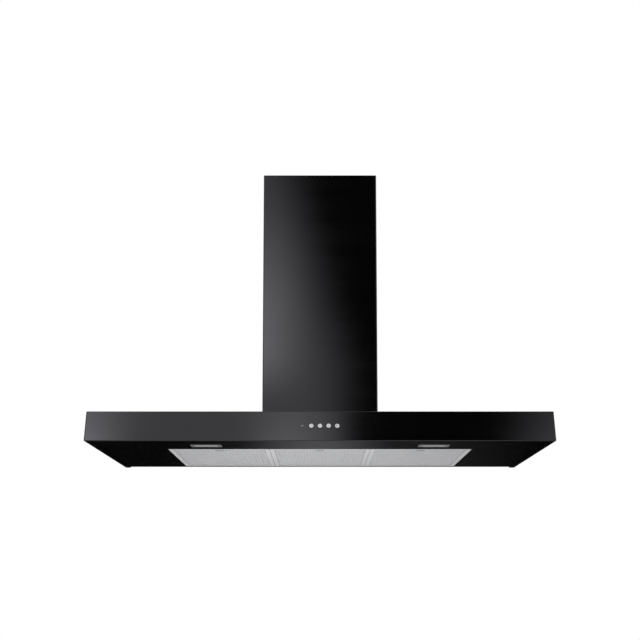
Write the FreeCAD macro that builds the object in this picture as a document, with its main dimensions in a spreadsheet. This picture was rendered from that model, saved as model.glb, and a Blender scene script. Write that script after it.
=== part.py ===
# Wall-mounted chimney range hood.
# X runs to the right, Y into the wall and Z up. The wall is the plane Y = 0, and Z = 0 is the
# lowest face of the canopy, so the origin is the middle of the lower rear edge.
import FreeCAD, Part
import os
import Sketcher

sizes = {
    # canopy, folded from sheet
    "canopyWidth": 1100,
    "canopyDepth": 500,
    "canopyHeight": 73,
    "frontLean": 19,            # how far the front face leans back at its top
    "skinSheet": 1.2,
    "cornerBend": 3,
    "topBend": 2,
    "lowerBend": 1.4,
    "leastInside": 0.2,         # smallest radius on the inside of a bend
    "frontFlange": 32,
    "sideFlange": 15,
    "hemWidth": 10,
    # back plate and its wall holes
    "backGap": 0.8,             # between the back plate and the skin's sides and top
    "rearLip": 3,
    "wallHoleRadius": 4,
    "wallHoleSpan": 480,
    "wallHoleRise": 34,
    "wallHoleLow": 20,          # height of the lower pair
    # underside panel
    "panelSheet": 1,
    "panelLap": 12,             # how far the panel lies over the hem
    "panelGap": 0.3,
    # filters
    "filterWidth": 250,
    "filterDepth": 329,
    "filterThickness": 9,
    "filterGap": 1,             # between two filters, and at the sides of the field
    "filterRear": 18,           # from the wall to the filters' rear faces
    "filterBand": 11,
    "filterWall": 1,
    "filterLip": 0.8,
    "filterFrontGap": 1.2,
    "filterRearGap": 2,
    "meshSheet": 0.3,
    "meshGap": 0.5,
    "tabWidth": 22,
    "tabSpan": 160,
    "tabReach": 8,
    "tabSheet": 1,
    "tabLift": 0.2,
    "beadRadius": 1.5,
    "latchWidth": 22,
    "latchDepth": 22,
    "latchInset": 8,            # from the filter's front face to the latch
    "latchTravel": 5,
    "latchRecess": 0.4,
    "latchTop": 3,
    "latchWing": 1.2,
    "latchRib": 2,
    "tongueWidth": 12,
    "tongueGap": 0.3,           # from the tongue's tip to the panel's front lip
    "trayWall": 1,
    "trayLip": 1.2,
    "slideGap": 0.3,
    "slideLift": 0.1,
    "hingeSetBack": 0.2,        # from the filter's rear face to its hinge axis
    "latchSpringRadius": 2.2,
    "latchSpringHeight": 5.4,
    "latchSpringWire": 0.5,
    "springSeat": 0.1,          # gap at each end of a spring
    "railWidth": 24,
    "railSheet": 1.2,
    "railFoot": 11,
    # lamps
    "lampLength": 74,
    "lampWidth": 36,
    "lampSpacing": 550,
    "lampFromWall": 407,
    "lampEndBand": 9,
    "lampSideBand": 4.5,
    "lampFlange": 1,
    "lampRim": 3,
    "lampWall": 1.5,
    "lampHeight": 27,
    "lampCollar": 6,
    "lensRecess": 0.2,
    "lensSheet": 1.2,
    "finSheet": 1.6,
    "finPitch": 9,
    "finHeight": 5,
    "lightSide": 3,
    "lightPitch": 11,
    "lightRowOffset": 6,
    "boardSheet": 1.6,
    "boardInset": 1,
    # switches on the front face
    "buttonRadius": 5.15,
    "buttonPitch": 20.2,
    "buttonFirst": -20.3,
    "buttonHeight": 36.8,
    "buttonProud": 1.2,
    "buttonTravel": 1.5,
    "indicatorPlace": -41.6,
    "indicatorLength": 6,
    "indicatorWidth": 2.6,
    "buttonFlange": 1.3,
    "buttonLip": 1.25,          # how far the button's flange stands out past its rim
    "buttonStemRadius": 1.6,
    "buttonDishRadius": 2.4,
    "buttonDish": 0.3,
    "buttonEdge": 0.5,
    "returnSpringRadius": 4.4,
    "returnSpringWire": 0.6,
    "microswitchSide": 5,
    "microswitchHeight": 2,
    "switchGap": 0.3,
    "switchCollarWall": 1.2,
    "switchCollarProud": 0.3,
    "housingGap": 0.2,          # between the sheet and the switch housing
    "indicatorGap": 0.1,
    "pillarRadius": 2.2,
    "pillarInset": 4.5,
    "switchWall": 1.5,
    "switchFront": 2,
    "switchHalfWidth": 54,
    "switchHalfHeight": 12,
    "switchDepth": 15,
    "boardDepth": 11,           # from the front face to the control board
    # chimney
    "chimneyWidth": 298,
    "chimneyDepth": 262,
    "chimneyTop": 748,
    "chimneySheet": 1,
    "chimneyReturn": 14,
    "chimneyGap": 0.8,
    "chimneyFoot": 14,
    "upperDrop": 3,             # the inner section stands this far below the outer one's top
    "upperRaise": 4,            # and this far above the canopy
    "ventWidth": 4.5,
    "ventHeight": 46,
    "ventPitch": 14,
    "ventDrop": 40,
    "bracketDrop": 8,
    "bracketInset": 5,
    "bracketGap": 0.2,
    "wallBracketHeight": 40,
    "wallBracketDepth": 28,
    "wallBracketSheet": 1.2,
    "wallBracketHoleRadius": 3,
    "wallBracketHoleSpan": 200,
    # motor box
    "boxHeight": 230,
    "boxSheet": 1.2,
    "boxSideGap": 18,           # from the chimney's outside to the motor box, at each side
    "boxFrontGap": 20,
    "boxFromWall": 2,
    "boxFlange": 12,
    "inletMargin": 16,
    # blower
    "scrollRadius": 88,
    "scrollShift": 6,           # from the impeller's axis to the scroll's, towards the wall
    "scrollWidth": 150,
    "scrollWall": 2,
    "scrollLift": 15,
    "neckDepth": 120,
    "inletRadius": 55,
    "impellerRadius": 62,
    "impellerWidth": 118,
    "bladeDepth": 13,
    "bladeSheet": 1,
    "discSheet": 2,
    "hubRadius": 12,
    "shaftRadius": 4,
    "shaftGap": 0.06,
    "motorRadius": 38,
    "motorStart": 20,
    "motorEdge": 5.5,
    "hubLength": 34,
    "bladeSweep": 4,
    "bladeRoot": 0.5,
    "mountSheet": 2,
    "mountRim": 11,
    "mountArm": 14,
    "shaftTail": 2,
    # outlet collar and non-return flaps
    "collarRadius": 75,
    "collarSheet": 1.2,
    "collarHeight": 60,
    "collarFlange": 11,
    "collarFlangeSheet": 1.5,
    "flapHeight": 25,           # from the motor box to the flaps' pin
    "flapSheet": 1,
    "flapGap": 1,
    "flapPinRadius": 1.5,
    "flapPinGap": 0.3,
    "knuckleRadius": 3,
    "knuckleClear": 0.5,
    "knuckleLength": 24,
    "knuckleInner": 4,
    "knuckleOuter": 34,
    "flapLedge": 2.5,
    "flapLedgeSheet": 1.5,
    "flapStopGap": 0.3,
    # terminal box
    "terminalLength": 130,
    "terminalWidth": 40,
    "terminalHeight": 38,
    "terminalWall": 1.5,
    "terminalGap": 3,           # from the outlet collar's flange
    "lidDrop": 2,
    "lidGap": 0.2,
    "stripWidth": 18,
    "stripLength": 48,
    "stripHeight": 15,
    "stripInset": 6,
    "wellRadius": 2.4,
    "wellDepth": 9,
    "wellPitch": 8,
    "wellRow": 5,               # from the strip's middle line to each row of wells
    "capacitorSpace": 8,        # between the strip and the capacitor
    "capacitorRadius": 14,
    "capacitorLength": 56,
    "glandRadius": 9,
    "glandLength": 20,
    "glandThread": 7,
    "glandRim": 1,
    "glandNut": 4,
    "glandCollar": 5,
    "glandTaper": 3,
    "cordRadius": 4,
    # screws
    "screwRadius": 2,
    "screwHeadRadius": 3.5,
    "screwHead": 2.2,
    "screwLength": 7,
    "screwGap": 0.2,
    "flushGap": 0.1,
    "overrun": 1,               # how far a cut runs past the face it goes through
}

filterPlaces = (-1, 0, 1)       # left, middle and right filter, in filter pitches
panelScrewShares = (0.08, 0.5, 0.92)    # of the way from the wall to the front flange
boxScrewShares = (-0.35, 0.35)
finPlaces = (-3, -2, -1, 0, 1, 2, 3)
lightPlaces = (-2, -1, 0, 1, 2)
wellCount = 6
mountArms = 3
sides = {"left": -1, "right": 1}
buttonCount = 4
bladeCount = 32
ventCount = 9

doc = FreeCAD.newDocument("RangeHood")
dim = doc.addObject("Spreadsheet::Sheet", "dim")
for row, (alias, size) in enumerate(sizes.items(), 1):
    dim.set(f"A{row}", alias)
    dim.set(f"B{row}", str(size))
    dim.setAlias(f"B{row}", alias)
doc.recompute()

# places that several pieces share
halfCanopy = "(dim.canopyWidth / 2)"
panelFloor = "(2 * dim.skinSheet)"
panelRoof = f"({panelFloor} + dim.panelSheet)"
canopyInside = "(dim.canopyHeight - dim.skinSheet)"
flangeRear = "(-dim.canopyDepth + dim.frontFlange)"
flangeInside = f"({halfCanopy} - dim.sideFlange)"
filterPitch = "(dim.filterWidth + dim.filterGap)"
filterFront = "(-dim.filterRear - dim.filterDepth)"
fieldHalf = f"(1.5 * {filterPitch} + dim.filterGap)"
lipFront = f"({filterFront} - dim.filterFrontGap)"
lipRear = "(-dim.filterRear + dim.filterRearGap)"
boxRear = "(-dim.boxFromWall)"
boxFront = "(-dim.chimneyDepth + dim.boxFrontGap)"
boxMiddle = f"(({boxRear} + {boxFront}) / 2)"
halfBox = "(dim.chimneyWidth / 2 - dim.boxSideGap)"
boxRoof = "(dim.canopyHeight + dim.boxHeight)"
boxInside = f"({boxRoof} - dim.boxSheet)"
scrollHeight = "(dim.canopyHeight + dim.scrollLift + dim.scrollRadius)"
neckFront = f"({boxMiddle} - dim.neckDepth / 2)"
neckRear = f"({boxMiddle} + dim.neckDepth / 2)"
scrollMiddle = f"({neckRear} - dim.scrollRadius)"
impellerMiddle = f"({scrollMiddle} - dim.scrollShift)"
halfScroll = "(dim.scrollWidth / 2)"
collarInside = "(dim.collarRadius - dim.collarSheet)"
flapMiddle = f"({boxRoof} + dim.flapHeight)"
terminalLeft = "(dim.collarRadius + dim.collarFlange + dim.terminalGap)"
terminalRight = f"({terminalLeft} + dim.terminalWidth)"
terminalFront = f"({boxMiddle} - dim.terminalLength / 2)"
terminalRear = f"({boxMiddle} + dim.terminalLength / 2)"
faceTilt = "90 deg - atan(dim.frontLean / dim.canopyHeight)"
faceDepth = "(-dim.canopyDepth + dim.frontLean * dim.buttonHeight / dim.canopyHeight)"

turns = {
    "x": FreeCAD.Rotation(FreeCAD.Vector(0, 1, 0), 90),
    "y": FreeCAD.Rotation(FreeCAD.Vector(1, 0, 0), -90),
    "z": FreeCAD.Rotation(),
}
nodes = []


def number(expression):
    result = doc.dim.evalExpression(str(expression).replace("dim.", ""))
    return float(getattr(result, "Value", result))


def bind(thing, **expressions):
    for path, expression in expressions.items():
        thing.setExpression(path.replace("_", "."), str(expression))


def place(thing, x="0", y="0", z="0"):
    bind(thing, Placement_Base_x=x, Placement_Base_y=y, Placement_Base_z=z)
    return thing


def box(name, x, y, z):
    """A block between two values on each axis."""
    block = doc.addObject("Part::Box", name)
    length, width, height = (f"({high}) - ({low})" for low, high in (x, y, z))
    bind(block, Length=length, Width=width, Height=height)
    return place(block, x[0], y[0], z[0])


def rod(name, radius, axis, span, centre):
    """A cylinder along an axis, from span[0] to span[1], through centre on the other two."""
    cylinder = doc.addObject("Part::Cylinder", name)
    bind(cylinder, Radius=radius, Height=f"({span[1]}) - ({span[0]})")
    cylinder.Placement = FreeCAD.Placement(FreeCAD.Vector(), turns[axis])
    spot = list(centre)
    spot.insert("xyz".index(axis), span[0])
    return place(cylinder, *spot)


def join(name, pieces):
    if len(pieces) == 1:
        return pieces[0]
    whole = doc.addObject("Part::MultiFuse", name)
    whole.Shapes = pieces
    whole.Refine = True
    return whole


def cut(name, base, tools):
    result = doc.addObject("Part::Cut", name)
    result.Base = base
    result.Tool = join(f"{name}_tools", tools)
    result.Refine = True
    return result


def common(name, first, second):
    result = doc.addObject("Part::Common", name)
    result.Base = first
    result.Tool = second
    return result


def sleeve(name, radius, wall, axis, span, centre):
    """A tube open at both ends."""
    bore = rod(f"{name}_bore", f"{radius} - {wall}", axis, past(span), centre)
    return cut(name, rod(f"{name}_outside", radius, axis, span, centre), [bore])


def past(span):
    """A span made longer at both ends, for a cut that goes right through."""
    return f"{span[0]} - dim.overrun", f"{span[1]} + dim.overrun"


def mid_span(half):
    return f"-({half})", half


def about(middle, half):
    return f"{middle} - {half}", f"{middle} + {half}"


def centred(half_length, half_width):
    return mid_span(half_length), mid_span(half_width)


def group(name, pieces):
    result = doc.addObject("Part::Compound", name)
    result.Links = pieces
    return result


def node(label, thing):
    """A finished sub-part: its label names its file."""
    thing.Label = label
    nodes.append(thing)
    return thing


def on_face(thing, along="0"):
    """Turns a piece that was made lying flat so that its Z leaves the leaning front face."""
    if thing.TypeId in ("Part::Box", "Part::Cylinder"):
        thing = group(f"{thing.Name}_turned", [thing])
    thing.Placement = FreeCAD.Placement(FreeCAD.Vector(), FreeCAD.Rotation(FreeCAD.Vector(1, 0, 0), 90))
    thing.setExpression("Placement.Rotation.Angle", faceTilt)
    return place(thing, along, faceDepth, "dim.buttonHeight")


def new_body(name):
    return doc.addObject("PartDesign::Body", name)


def new_sketch(body, role, lift=None):
    sketch = body.newObject("Sketcher::SketchObject", f"{body.Name}_outline")
    plane = next(item for item in body.Origin.OriginFeatures if item.Role == role)
    sketch.AttachmentSupport = [(plane, "")]
    sketch.MapMode = "FlatFace"
    if lift:
        bind(sketch, AttachmentOffset_Base_z=lift)
    return sketch


def pin_point(sketch, geometry, point, x, y):
    """Ties a point of the sketch to a place, measured from the sketch's origin."""
    for kind, expression, axis in (("DistanceX", x, -2), ("DistanceY", y, -1)):
        distance = number(expression)
        if distance == 0:
            sketch.addConstraint(Sketcher.Constraint("PointOnObject", geometry, point, axis))
        else:
            index = sketch.addConstraint(Sketcher.Constraint(kind, -1, 1, geometry, point, distance))
            sketch.setExpression(f"Constraints[{index}]", expression)


def outline(sketch, points):
    """A closed outline of straight lines through the points."""
    first = sketch.GeometryCount
    corners = [FreeCAD.Vector(number(x), number(y), 0) for x, y in points]
    count = len(corners)
    for index, corner in enumerate(corners):
        sketch.addGeometry(Part.LineSegment(corner, corners[(index + 1) % count]), False)
    for index, (x, y) in enumerate(points):
        following = first + (index + 1) % count
        sketch.addConstraint(Sketcher.Constraint("Coincident", first + index, 2, following, 1))
        pin_point(sketch, first + index, 1, x, y)
    return sketch


def rectangle(sketch, x, y):
    return outline(sketch, [(x[0], y[0]), (x[1], y[0]), (x[1], y[1]), (x[0], y[1])])


def circle(sketch, x, y, radius):
    centre = FreeCAD.Vector(number(x), number(y), 0)
    ring = sketch.addGeometry(Part.Circle(centre, FreeCAD.Vector(0, 0, 1), number(radius)), False)
    if number(x) == 0 and number(y) == 0:
        sketch.addConstraint(Sketcher.Constraint("Coincident", ring, 3, -1, 1))
    else:
        pin_point(sketch, ring, 3, x, y)
    index = sketch.addConstraint(Sketcher.Constraint("Radius", ring, number(radius)))
    sketch.setExpression(f"Constraints[{index}]", radius)
    return sketch


def pad(body, sketch, length, symmetric=False):
    feature = body.newObject("PartDesign::Pad", f"{body.Name}_pad")
    feature.Profile = sketch
    feature.Midplane = symmetric
    bind(feature, Length=length)
    doc.recompute()
    return feature


def pocket(body, sketch, length):
    """A cut to both sides of the sketch."""
    feature = body.newObject("PartDesign::Pocket", f"{body.Name}_pocket")
    feature.Profile = sketch
    feature.Midplane = True
    bind(feature, Length=length)
    doc.recompute()
    return feature


def revolve(body, points, role="XZ_Plane"):
    """A turned piece about the sketch's vertical axis."""
    sketch = outline(new_sketch(body, role), points)
    feature = body.newObject("PartDesign::Revolution", f"{body.Name}_turned")
    feature.Profile = sketch
    feature.ReferenceAxis = (sketch, ["V_Axis"])
    feature.Angle = 360
    doc.recompute()
    return feature


def round_edges(body, feature, radius, wanted):
    names = [f"Edge{i}" for i, edge in enumerate(feature.Shape.Edges, 1) if wanted(edge.CenterOfMass)]
    rounding = body.newObject("PartDesign::Fillet", f"{body.Name}_bend")
    rounding.Base = (feature, names)
    bind(rounding, Radius=radius)
    doc.recompute()
    return rounding


def near(first, second):
    return abs(first - second) < 0.05


def mirrored(spans):
    """The same span on both sides of X = 0."""
    low, high = spans
    return [(low, high), (f"-({high})", f"-({low})")]


# ---- canopy ----

def screw_holes(name, places, span):
    radius = "dim.screwRadius + dim.screwGap"
    return [rod(f"{name}_{i}", radius, "z", span, spot) for i, spot in enumerate(places)]


panelScrewLine = f"({flangeInside} + dim.hemWidth / 2)"
panelScrewPlaces = [(f"{side} * {panelScrewLine}", f"{share} * {flangeRear}")
                    for side in sides.values() for share in panelScrewShares]
footScrewLine = "-dim.chimneyDepth + dim.chimneyFoot / 2 + dim.chimneySheet"
footScrewPlaces = [(f"{side} * dim.chimneyWidth / 4", footScrewLine) for side in sides.values()]
boxScrewLine = f"({halfBox} + dim.boxFlange / 2)"
boxScrewPlaces = [(f"{side} * {boxScrewLine}", f"{boxMiddle} + {share} * ({boxRear} - {boxFront})")
                  for side in sides.values() for share in boxScrewShares]
collarScrewRing = "(dim.collarRadius + dim.collarFlange / 2)"
collarScrewPlaces = [(collarScrewRing, boxMiddle), (f"-{collarScrewRing}", boxMiddle),
                     ("0", f"{boxMiddle} + {collarScrewRing}"), ("0", f"{boxMiddle} - {collarScrewRing}")]


collarOutside = "(dim.buttonRadius + dim.switchGap + dim.switchCollarWall)"


def button_place(index):
    return f"dim.buttonFirst + {index} * dim.buttonPitch"


def folded_canopy():
    body = new_body("folded_canopy")
    side = outline(new_sketch(body, "YZ_Plane"), [
        ("-dim.canopyDepth", "0"),
        ("-dim.canopyDepth + dim.frontLean", "dim.canopyHeight"),
        ("0", "dim.canopyHeight"),
        ("0", "0"),
    ])
    height = number("dim.canopyHeight")
    edge = number(halfCanopy)
    feature = pad(body, side, "dim.canopyWidth", symmetric=True)
    feature = round_edges(body, feature, "dim.cornerBend",
                          lambda c: near(abs(c.x), edge) and near(c.z, height / 2) and c.y < -1)
    tightest = "dim.skinSheet + dim.leastInside"
    for bend, level in (("dim.topBend", height), ("dim.lowerBend", 0)):
        feature = round_edges(body, feature, f"max({bend}; {tightest})",
                              lambda c: near(c.z, level) and c.y < -0.1)
    rear = [f"Face{i}" for i, face in enumerate(feature.Shape.Faces, 1) if near(face.CenterOfMass.y, 0)]
    hollow = body.newObject("PartDesign::Thickness", "folded_canopy_sheet")
    hollow.Base = (feature, rear)
    hollow.Reversed = True
    bind(hollow, Value="dim.skinSheet")
    doc.recompute()
    return body


def canopy_skin():
    hemFront = f"{flangeRear} - dim.hemWidth"
    hemHeight = ("dim.skinSheet", panelFloor)
    hems = [box("hem_front", mid_span(flangeInside), (hemFront, flangeRear), hemHeight)]
    for span in mirrored((flangeInside, f"{flangeInside} + dim.hemWidth")):
        hems.append(box("hem_side", span, (hemFront, "0"), hemHeight))
    inlet = f"({halfBox} - dim.inletMargin)"
    inletDepth = (f"{boxFront} + dim.inletMargin", f"{boxRear} - dim.inletMargin")
    throughRoof = past((canopyInside, "dim.canopyHeight"))
    through = past(("-dim.skinSheet", "0"))
    recess = ("-dim.overrun", "dim.skinSheet")
    tools = [
        box("underside_opening", mid_span(flangeInside), (flangeRear, "dim.overrun"), recess),
        box("air_inlet", mid_span(inlet), inletDepth, throughRoof),
    ]
    tools += screw_holes("foot_hole", footScrewPlaces, throughRoof)
    tools += screw_holes("box_hole", boxScrewPlaces, throughRoof)
    tools += screw_holes("panel_hole", panelScrewPlaces, past(("0", panelFloor)))
    for spot in panelScrewPlaces:
        tools.append(rod("head_recess", "dim.screwHeadRadius + dim.screwGap", "z", recess, spot))
    for index in range(buttonCount):
        collar = rod("button_hole", f"{collarOutside} + dim.switchGap", "z", through, ("0", "0"))
        tools.append(on_face(collar, button_place(index)))
    window = box("indicator_hole", *centred("dim.indicatorLength / 2 + dim.switchGap",
                                            "dim.indicatorWidth / 2 + dim.switchGap"), through)
    tools.append(on_face(window, "dim.indicatorPlace"))
    skin = join("canopy_with_hems", [folded_canopy()] + hems)
    return node("canopy_skin", cut("canopy_skin", skin, tools))


def back_plate():
    half = f"({halfCanopy} - dim.skinSheet - dim.backGap)"
    backTop = f"{canopyInside} - dim.backGap"
    upright = box("back_upright", (f"-{half}", half), ("-dim.skinSheet", "0"), (panelFloor, backTop))
    ledgeHeight = (panelRoof, f"{panelRoof} + dim.skinSheet")
    ledgeHalf = f"({half} - dim.sideFlange)"
    ledge = box("back_ledge", (f"-{ledgeHalf}", ledgeHalf), ("-dim.skinSheet - dim.rearLip", "0"), ledgeHeight)
    holes = []
    for side in sides.values():
        for rise in ("0", "dim.wallHoleRise"):
            spot = (f"{side} * dim.wallHoleSpan / 2", f"dim.wallHoleLow + {rise}")
            holes.append(rod("wall_hole", "dim.wallHoleRadius", "y", past(("-dim.skinSheet", "0")), spot))
    return node("back_plate", cut("back_plate", join("back_blank", [upright, ledge]), holes))


def underside_panel():
    body = new_body("panel_blank")
    half = f"{flangeInside} + dim.panelLap"
    front = f"{flangeRear} - dim.panelLap"
    rear = "-dim.skinSheet - dim.panelGap"
    sheet = rectangle(new_sketch(body, "XY_Plane", panelFloor), mid_span(half), (front, rear))
    pad(body, sheet, "dim.panelSheet")
    openings = rectangle(new_sketch(body, "XY_Plane", panelFloor), mid_span(fieldHalf), (lipFront, lipRear))
    cutHalfWidth = "(dim.lampWidth / 2 - dim.lampRim + dim.slideGap)"
    cutHalfLength = "(dim.lampLength / 2 - dim.lampRim + dim.slideGap)"
    for side in sides.values():
        middle = f"{side} * dim.lampSpacing / 2"
        rectangle(openings, about(middle, cutHalfLength), about("-dim.lampFromWall", cutHalfWidth))
    for x, y in panelScrewPlaces:
        circle(openings, x, y, "dim.screwRadius + dim.screwGap")
    pocket(body, openings, "6 * dim.panelSheet")
    return node("underside_panel", body)


def filter_rails():
    bars = []
    roof = f"({panelFloor} + dim.filterThickness + 2 * dim.slideGap)"
    for side in sides.values():
        middle = f"{side} * {filterPitch} / 2"
        across = about(middle, "dim.railWidth / 2")
        front = f"{lipFront} - dim.railFoot"
        rear = f"{lipRear} + dim.railFoot"
        top = (roof, f"{roof} + dim.railSheet")
        bar = [box("rail_bar", across, (front, rear), top)]
        bar.append(box("rail_front_foot", across, (front, f"{front} + dim.railSheet"), (panelRoof, roof)))
        bar.append(box("rail_rear_foot", across, (f"{rear} - dim.railSheet", rear), (panelRoof, roof)))
        bars.append(join("rail", bar))
    return node("filter_rails", group("filter_rails", bars))


# ---- filters: each is drawn with its rear lower edge on the X axis ----

tongueHalf = "dim.tongueWidth / 2"
wingHalf = "(dim.latchWidth / 2 + dim.latchWing)"
trayHalf = f"({wingHalf} + dim.slideGap + dim.trayWall)"
latchFront = "(-dim.filterDepth + dim.latchInset)"
latchRear = f"({latchFront} + dim.latchDepth)"
trayFront = f"({latchFront} - dim.slideGap - dim.trayWall)"
trayRear = f"({latchRear} + dim.latchTravel + dim.slideGap + dim.trayWall)"
ribFront = f"({latchFront} + dim.latchRib / 2)"
ribBack = f"({ribFront} + dim.latchRib)"


def filter_frame(number_of, x):
    half = "(dim.filterWidth / 2)"
    depth = "dim.filterDepth"
    height = "dim.filterThickness"
    outer = box("frame_block", mid_span(half), (f"-{depth}", "0"), ("0", height))
    window = box("frame_window", mid_span(f"{half} - dim.filterBand"),
                 (f"-{depth} + dim.filterBand", "-dim.filterBand"), past(("0", height)))
    betweenLips = ("dim.filterLip", f"{height} - dim.filterLip")
    channel = box("frame_channel", mid_span(f"{half} - dim.filterWall"),
                  (f"-{depth} + dim.filterWall", "-dim.filterWall"), betweenLips)
    ring = cut("frame_ring", outer, [window, channel])
    tray = box("tray_block", mid_span(trayHalf), (trayFront, trayRear), ("0", height))
    tabs = []
    bead = "(dim.panelSheet + dim.tabLift + dim.tabSheet / 2)"     # height of the hinge axis in the filter
    for side in sides.values():
        middle = f"{side} * dim.tabSpan / 2"
        across = about(middle, "dim.tabWidth / 2")
        reach = ("-dim.filterWall / 2", "dim.filterRearGap + dim.tabReach")
        tabs.append(box("tab", across, reach, about(bead, "dim.tabSheet / 2")))
        tabs.append(rod("tab_bead", "dim.beadRadius", "x", across, ("dim.hingeSetBack", bead)))
    whole = join("frame_with_tray", [ring, tray] + tabs)
    inside = (f"{trayFront} + dim.trayWall", f"{trayRear} - dim.trayWall")
    cavity = box("tray_cavity", mid_span(f"{trayHalf} - dim.trayWall"), inside,
                 ("dim.trayLip", f"{height} - dim.filterLip"))
    mouth = box("tray_mouth", mid_span("dim.latchWidth / 2 + dim.slideGap"), inside, past(("0", "dim.trayLip")))
    slot = box("tongue_slot", mid_span(f"{tongueHalf} + dim.slideGap"), past((f"-{depth}", inside[0])),
               ("dim.trayLip", "dim.latchTop + dim.slideGap"))
    piece = cut(f"filter_{number_of}_frame", whole, [cavity, mouth, slot])
    place(piece, x, "-dim.filterRear", panelFloor)
    return node(f"filter_{number_of}_frame", piece)


def filter_mesh(number_of, x):
    reach = "(dim.filterWidth / 2 - dim.filterWall - dim.meshGap)"
    front = "-dim.filterDepth + dim.filterWall + dim.meshGap"
    rear = "-dim.filterWall - dim.meshGap"
    low = "dim.filterLip"
    high = "(dim.filterThickness - dim.filterLip)"
    outer = box("mesh_block", mid_span(reach), (front, rear), (low, high))
    inner = box("mesh_hollow", mid_span(f"{reach} - dim.meshSheet"), past((front, rear)),
                (f"{low} + dim.meshSheet", f"{high} - dim.meshSheet"))
    notch = box("mesh_notch", mid_span(f"{trayHalf} + dim.meshGap"),
                (f"{front} - dim.overrun", f"{trayRear} + dim.meshGap"), past((low, high)))
    piece = cut(f"filter_{number_of}_mesh", outer, [inner, notch])
    place(piece, x, "-dim.filterRear", panelFloor)
    return node(f"filter_{number_of}_mesh", piece)


def filter_latch(number_of, x):
    floor = "dim.trayLip + dim.slideLift"
    top = "dim.latchTop"
    tip = "-dim.filterDepth - dim.filterFrontGap + dim.tongueGap"
    grip = box("latch_grip", mid_span("dim.latchWidth / 2"), (latchFront, latchRear), ("dim.latchRecess", top))
    wings = box("latch_wings", mid_span(wingHalf), (latchFront, latchRear), (floor, top))
    tongue = box("latch_tongue", mid_span(tongueHalf), (tip, latchFront), (floor, top))
    rib = box("latch_rib", mid_span("1.5 * dim.latchRib"), (ribFront, ribBack),
              (top, "dim.filterThickness - 2 * dim.filterLip"))
    hollow = (f"{latchFront} + dim.latchDepth / 4", f"{latchRear} - dim.latchDepth / 3")
    finger = box("latch_finger", mid_span("dim.latchWidth / 3"), hollow, ("0", "3 * dim.latchRecess"))
    piece = cut(f"filter_{number_of}_latch", join("latch_blank", [grip, wings, tongue, rib]), [finger])
    place(piece, x, "-dim.filterRear", panelFloor)
    return node(f"filter_{number_of}_latch", piece)


def latch_spring(number_of, x):
    span = (f"{ribBack} + dim.springSeat", f"{trayRear} - dim.trayWall - dim.springSeat")
    piece = sleeve(f"filter_{number_of}_spring", "dim.latchSpringRadius", "dim.latchSpringWire", "y", span,
                   ("0", "dim.latchSpringHeight"))
    place(piece, x, "-dim.filterRear", panelFloor)
    return node(f"filter_{number_of}_spring", piece)


def filters():
    for number_of, step in enumerate(filterPlaces, 1):
        x = f"{step} * {filterPitch}"
        filter_frame(number_of, x)
        filter_mesh(number_of, x)
        filter_latch(number_of, x)
        latch_spring(number_of, x)


# ---- lamps: each is drawn about its own middle, with Z = 0 on the panel's lower face ----

def lamp(side_name, side):
    half = "dim.lampLength / 2"
    wide = "dim.lampWidth / 2"
    collar = f"{half} - dim.lampRim", f"{wide} - dim.lampRim"
    bore = f"{collar[0]} - dim.lampWall", f"{collar[1]} - dim.lampWall"
    collarTop = "dim.panelSheet + dim.lampCollar"
    opening = f"{half} - dim.lampEndBand", f"{wide} - dim.lampSideBand"
    rim = box("bezel_rim", *centred(half, wide), ("-dim.lampFlange", "0"))
    tube = box("bezel_collar", *centred(*collar), ("0", collarTop))
    bezel = cut(f"lamp_{side_name}_bezel", join("bezel_blank", [rim, tube]), [
        box("bezel_bore", *centred(*bore), ("0", "dim.lampHeight")),
        box("bezel_window", *centred(*opening), past(("-dim.lampFlange", "0"))),
    ])
    plate = box("lens_plate", *centred(f"{opening[0]} - dim.slideGap", f"{opening[1]} - dim.slideGap"),
                ("-dim.lampFlange + dim.lensRecess", "dim.lensSheet"))
    edge = box("lens_edge", *centred(f"{bore[0]} - dim.slideGap", f"{bore[1]} - dim.slideGap"),
               ("0", "dim.lensSheet"))
    lens = join(f"lamp_{side_name}_lens", [plate, edge])
    top = "dim.lampHeight"
    shell = box("housing_block", *centred(half, wide), ("dim.panelSheet", top))
    boardTop = f"{top} - dim.lampWall"
    boardUnder = f"{boardTop} - dim.boardSheet"
    room = centred(f"{half} - dim.lampWall", f"{wide} - dim.lampWall")
    hollow = box("housing_hollow", *room, ("0", boardTop))
    fins = [box("housing_fin", about(f"{step} * dim.finPitch", "dim.finSheet / 2"), mid_span(wide),
                (top, f"{top} + dim.finHeight")) for step in finPlaces]
    housing = join(f"lamp_{side_name}_housing", [cut("housing_shell", shell, [hollow])] + fins)
    sheet = box("light_sheet", *centred(f"{bore[0]} - dim.boardInset", f"{bore[1]} - dim.boardInset"),
                (boardUnder, boardTop))
    lights = []
    for step in lightPlaces:
        for row in sides.values():
            along = about(f"{step} * dim.lightPitch", "dim.lightSide / 2")
            across = about(f"{row} * dim.lightRowOffset", "dim.lightSide / 2")
            lights.append(box("light", along, across, (f"{boardUnder} - dim.lightSide / 3", boardUnder)))
    board = join(f"lamp_{side_name}_board", [sheet] + lights)
    for name, piece in (("bezel", bezel), ("lens", lens), ("housing", housing), ("board", board)):
        place(piece, f"{side} * dim.lampSpacing / 2", "-dim.lampFromWall", panelFloor)
        node(f"lamp_{side_name}_{name}", piece)


# ---- switches: drawn with Z = 0 on the front face and Z leaving it ----

housingFront = "(-dim.skinSheet - dim.housingGap)"
housingBack = f"({housingFront} - dim.switchFront)"
flangeFront = f"({housingBack} - dim.switchGap)"
flangeBack = f"({flangeFront} - dim.buttonFlange)"
boardFront = "(-dim.boardDepth)"
switchTop = f"({boardFront} + dim.microswitchHeight)"
stemEnd = f"({switchTop} + dim.buttonTravel + dim.switchGap)"


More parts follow.
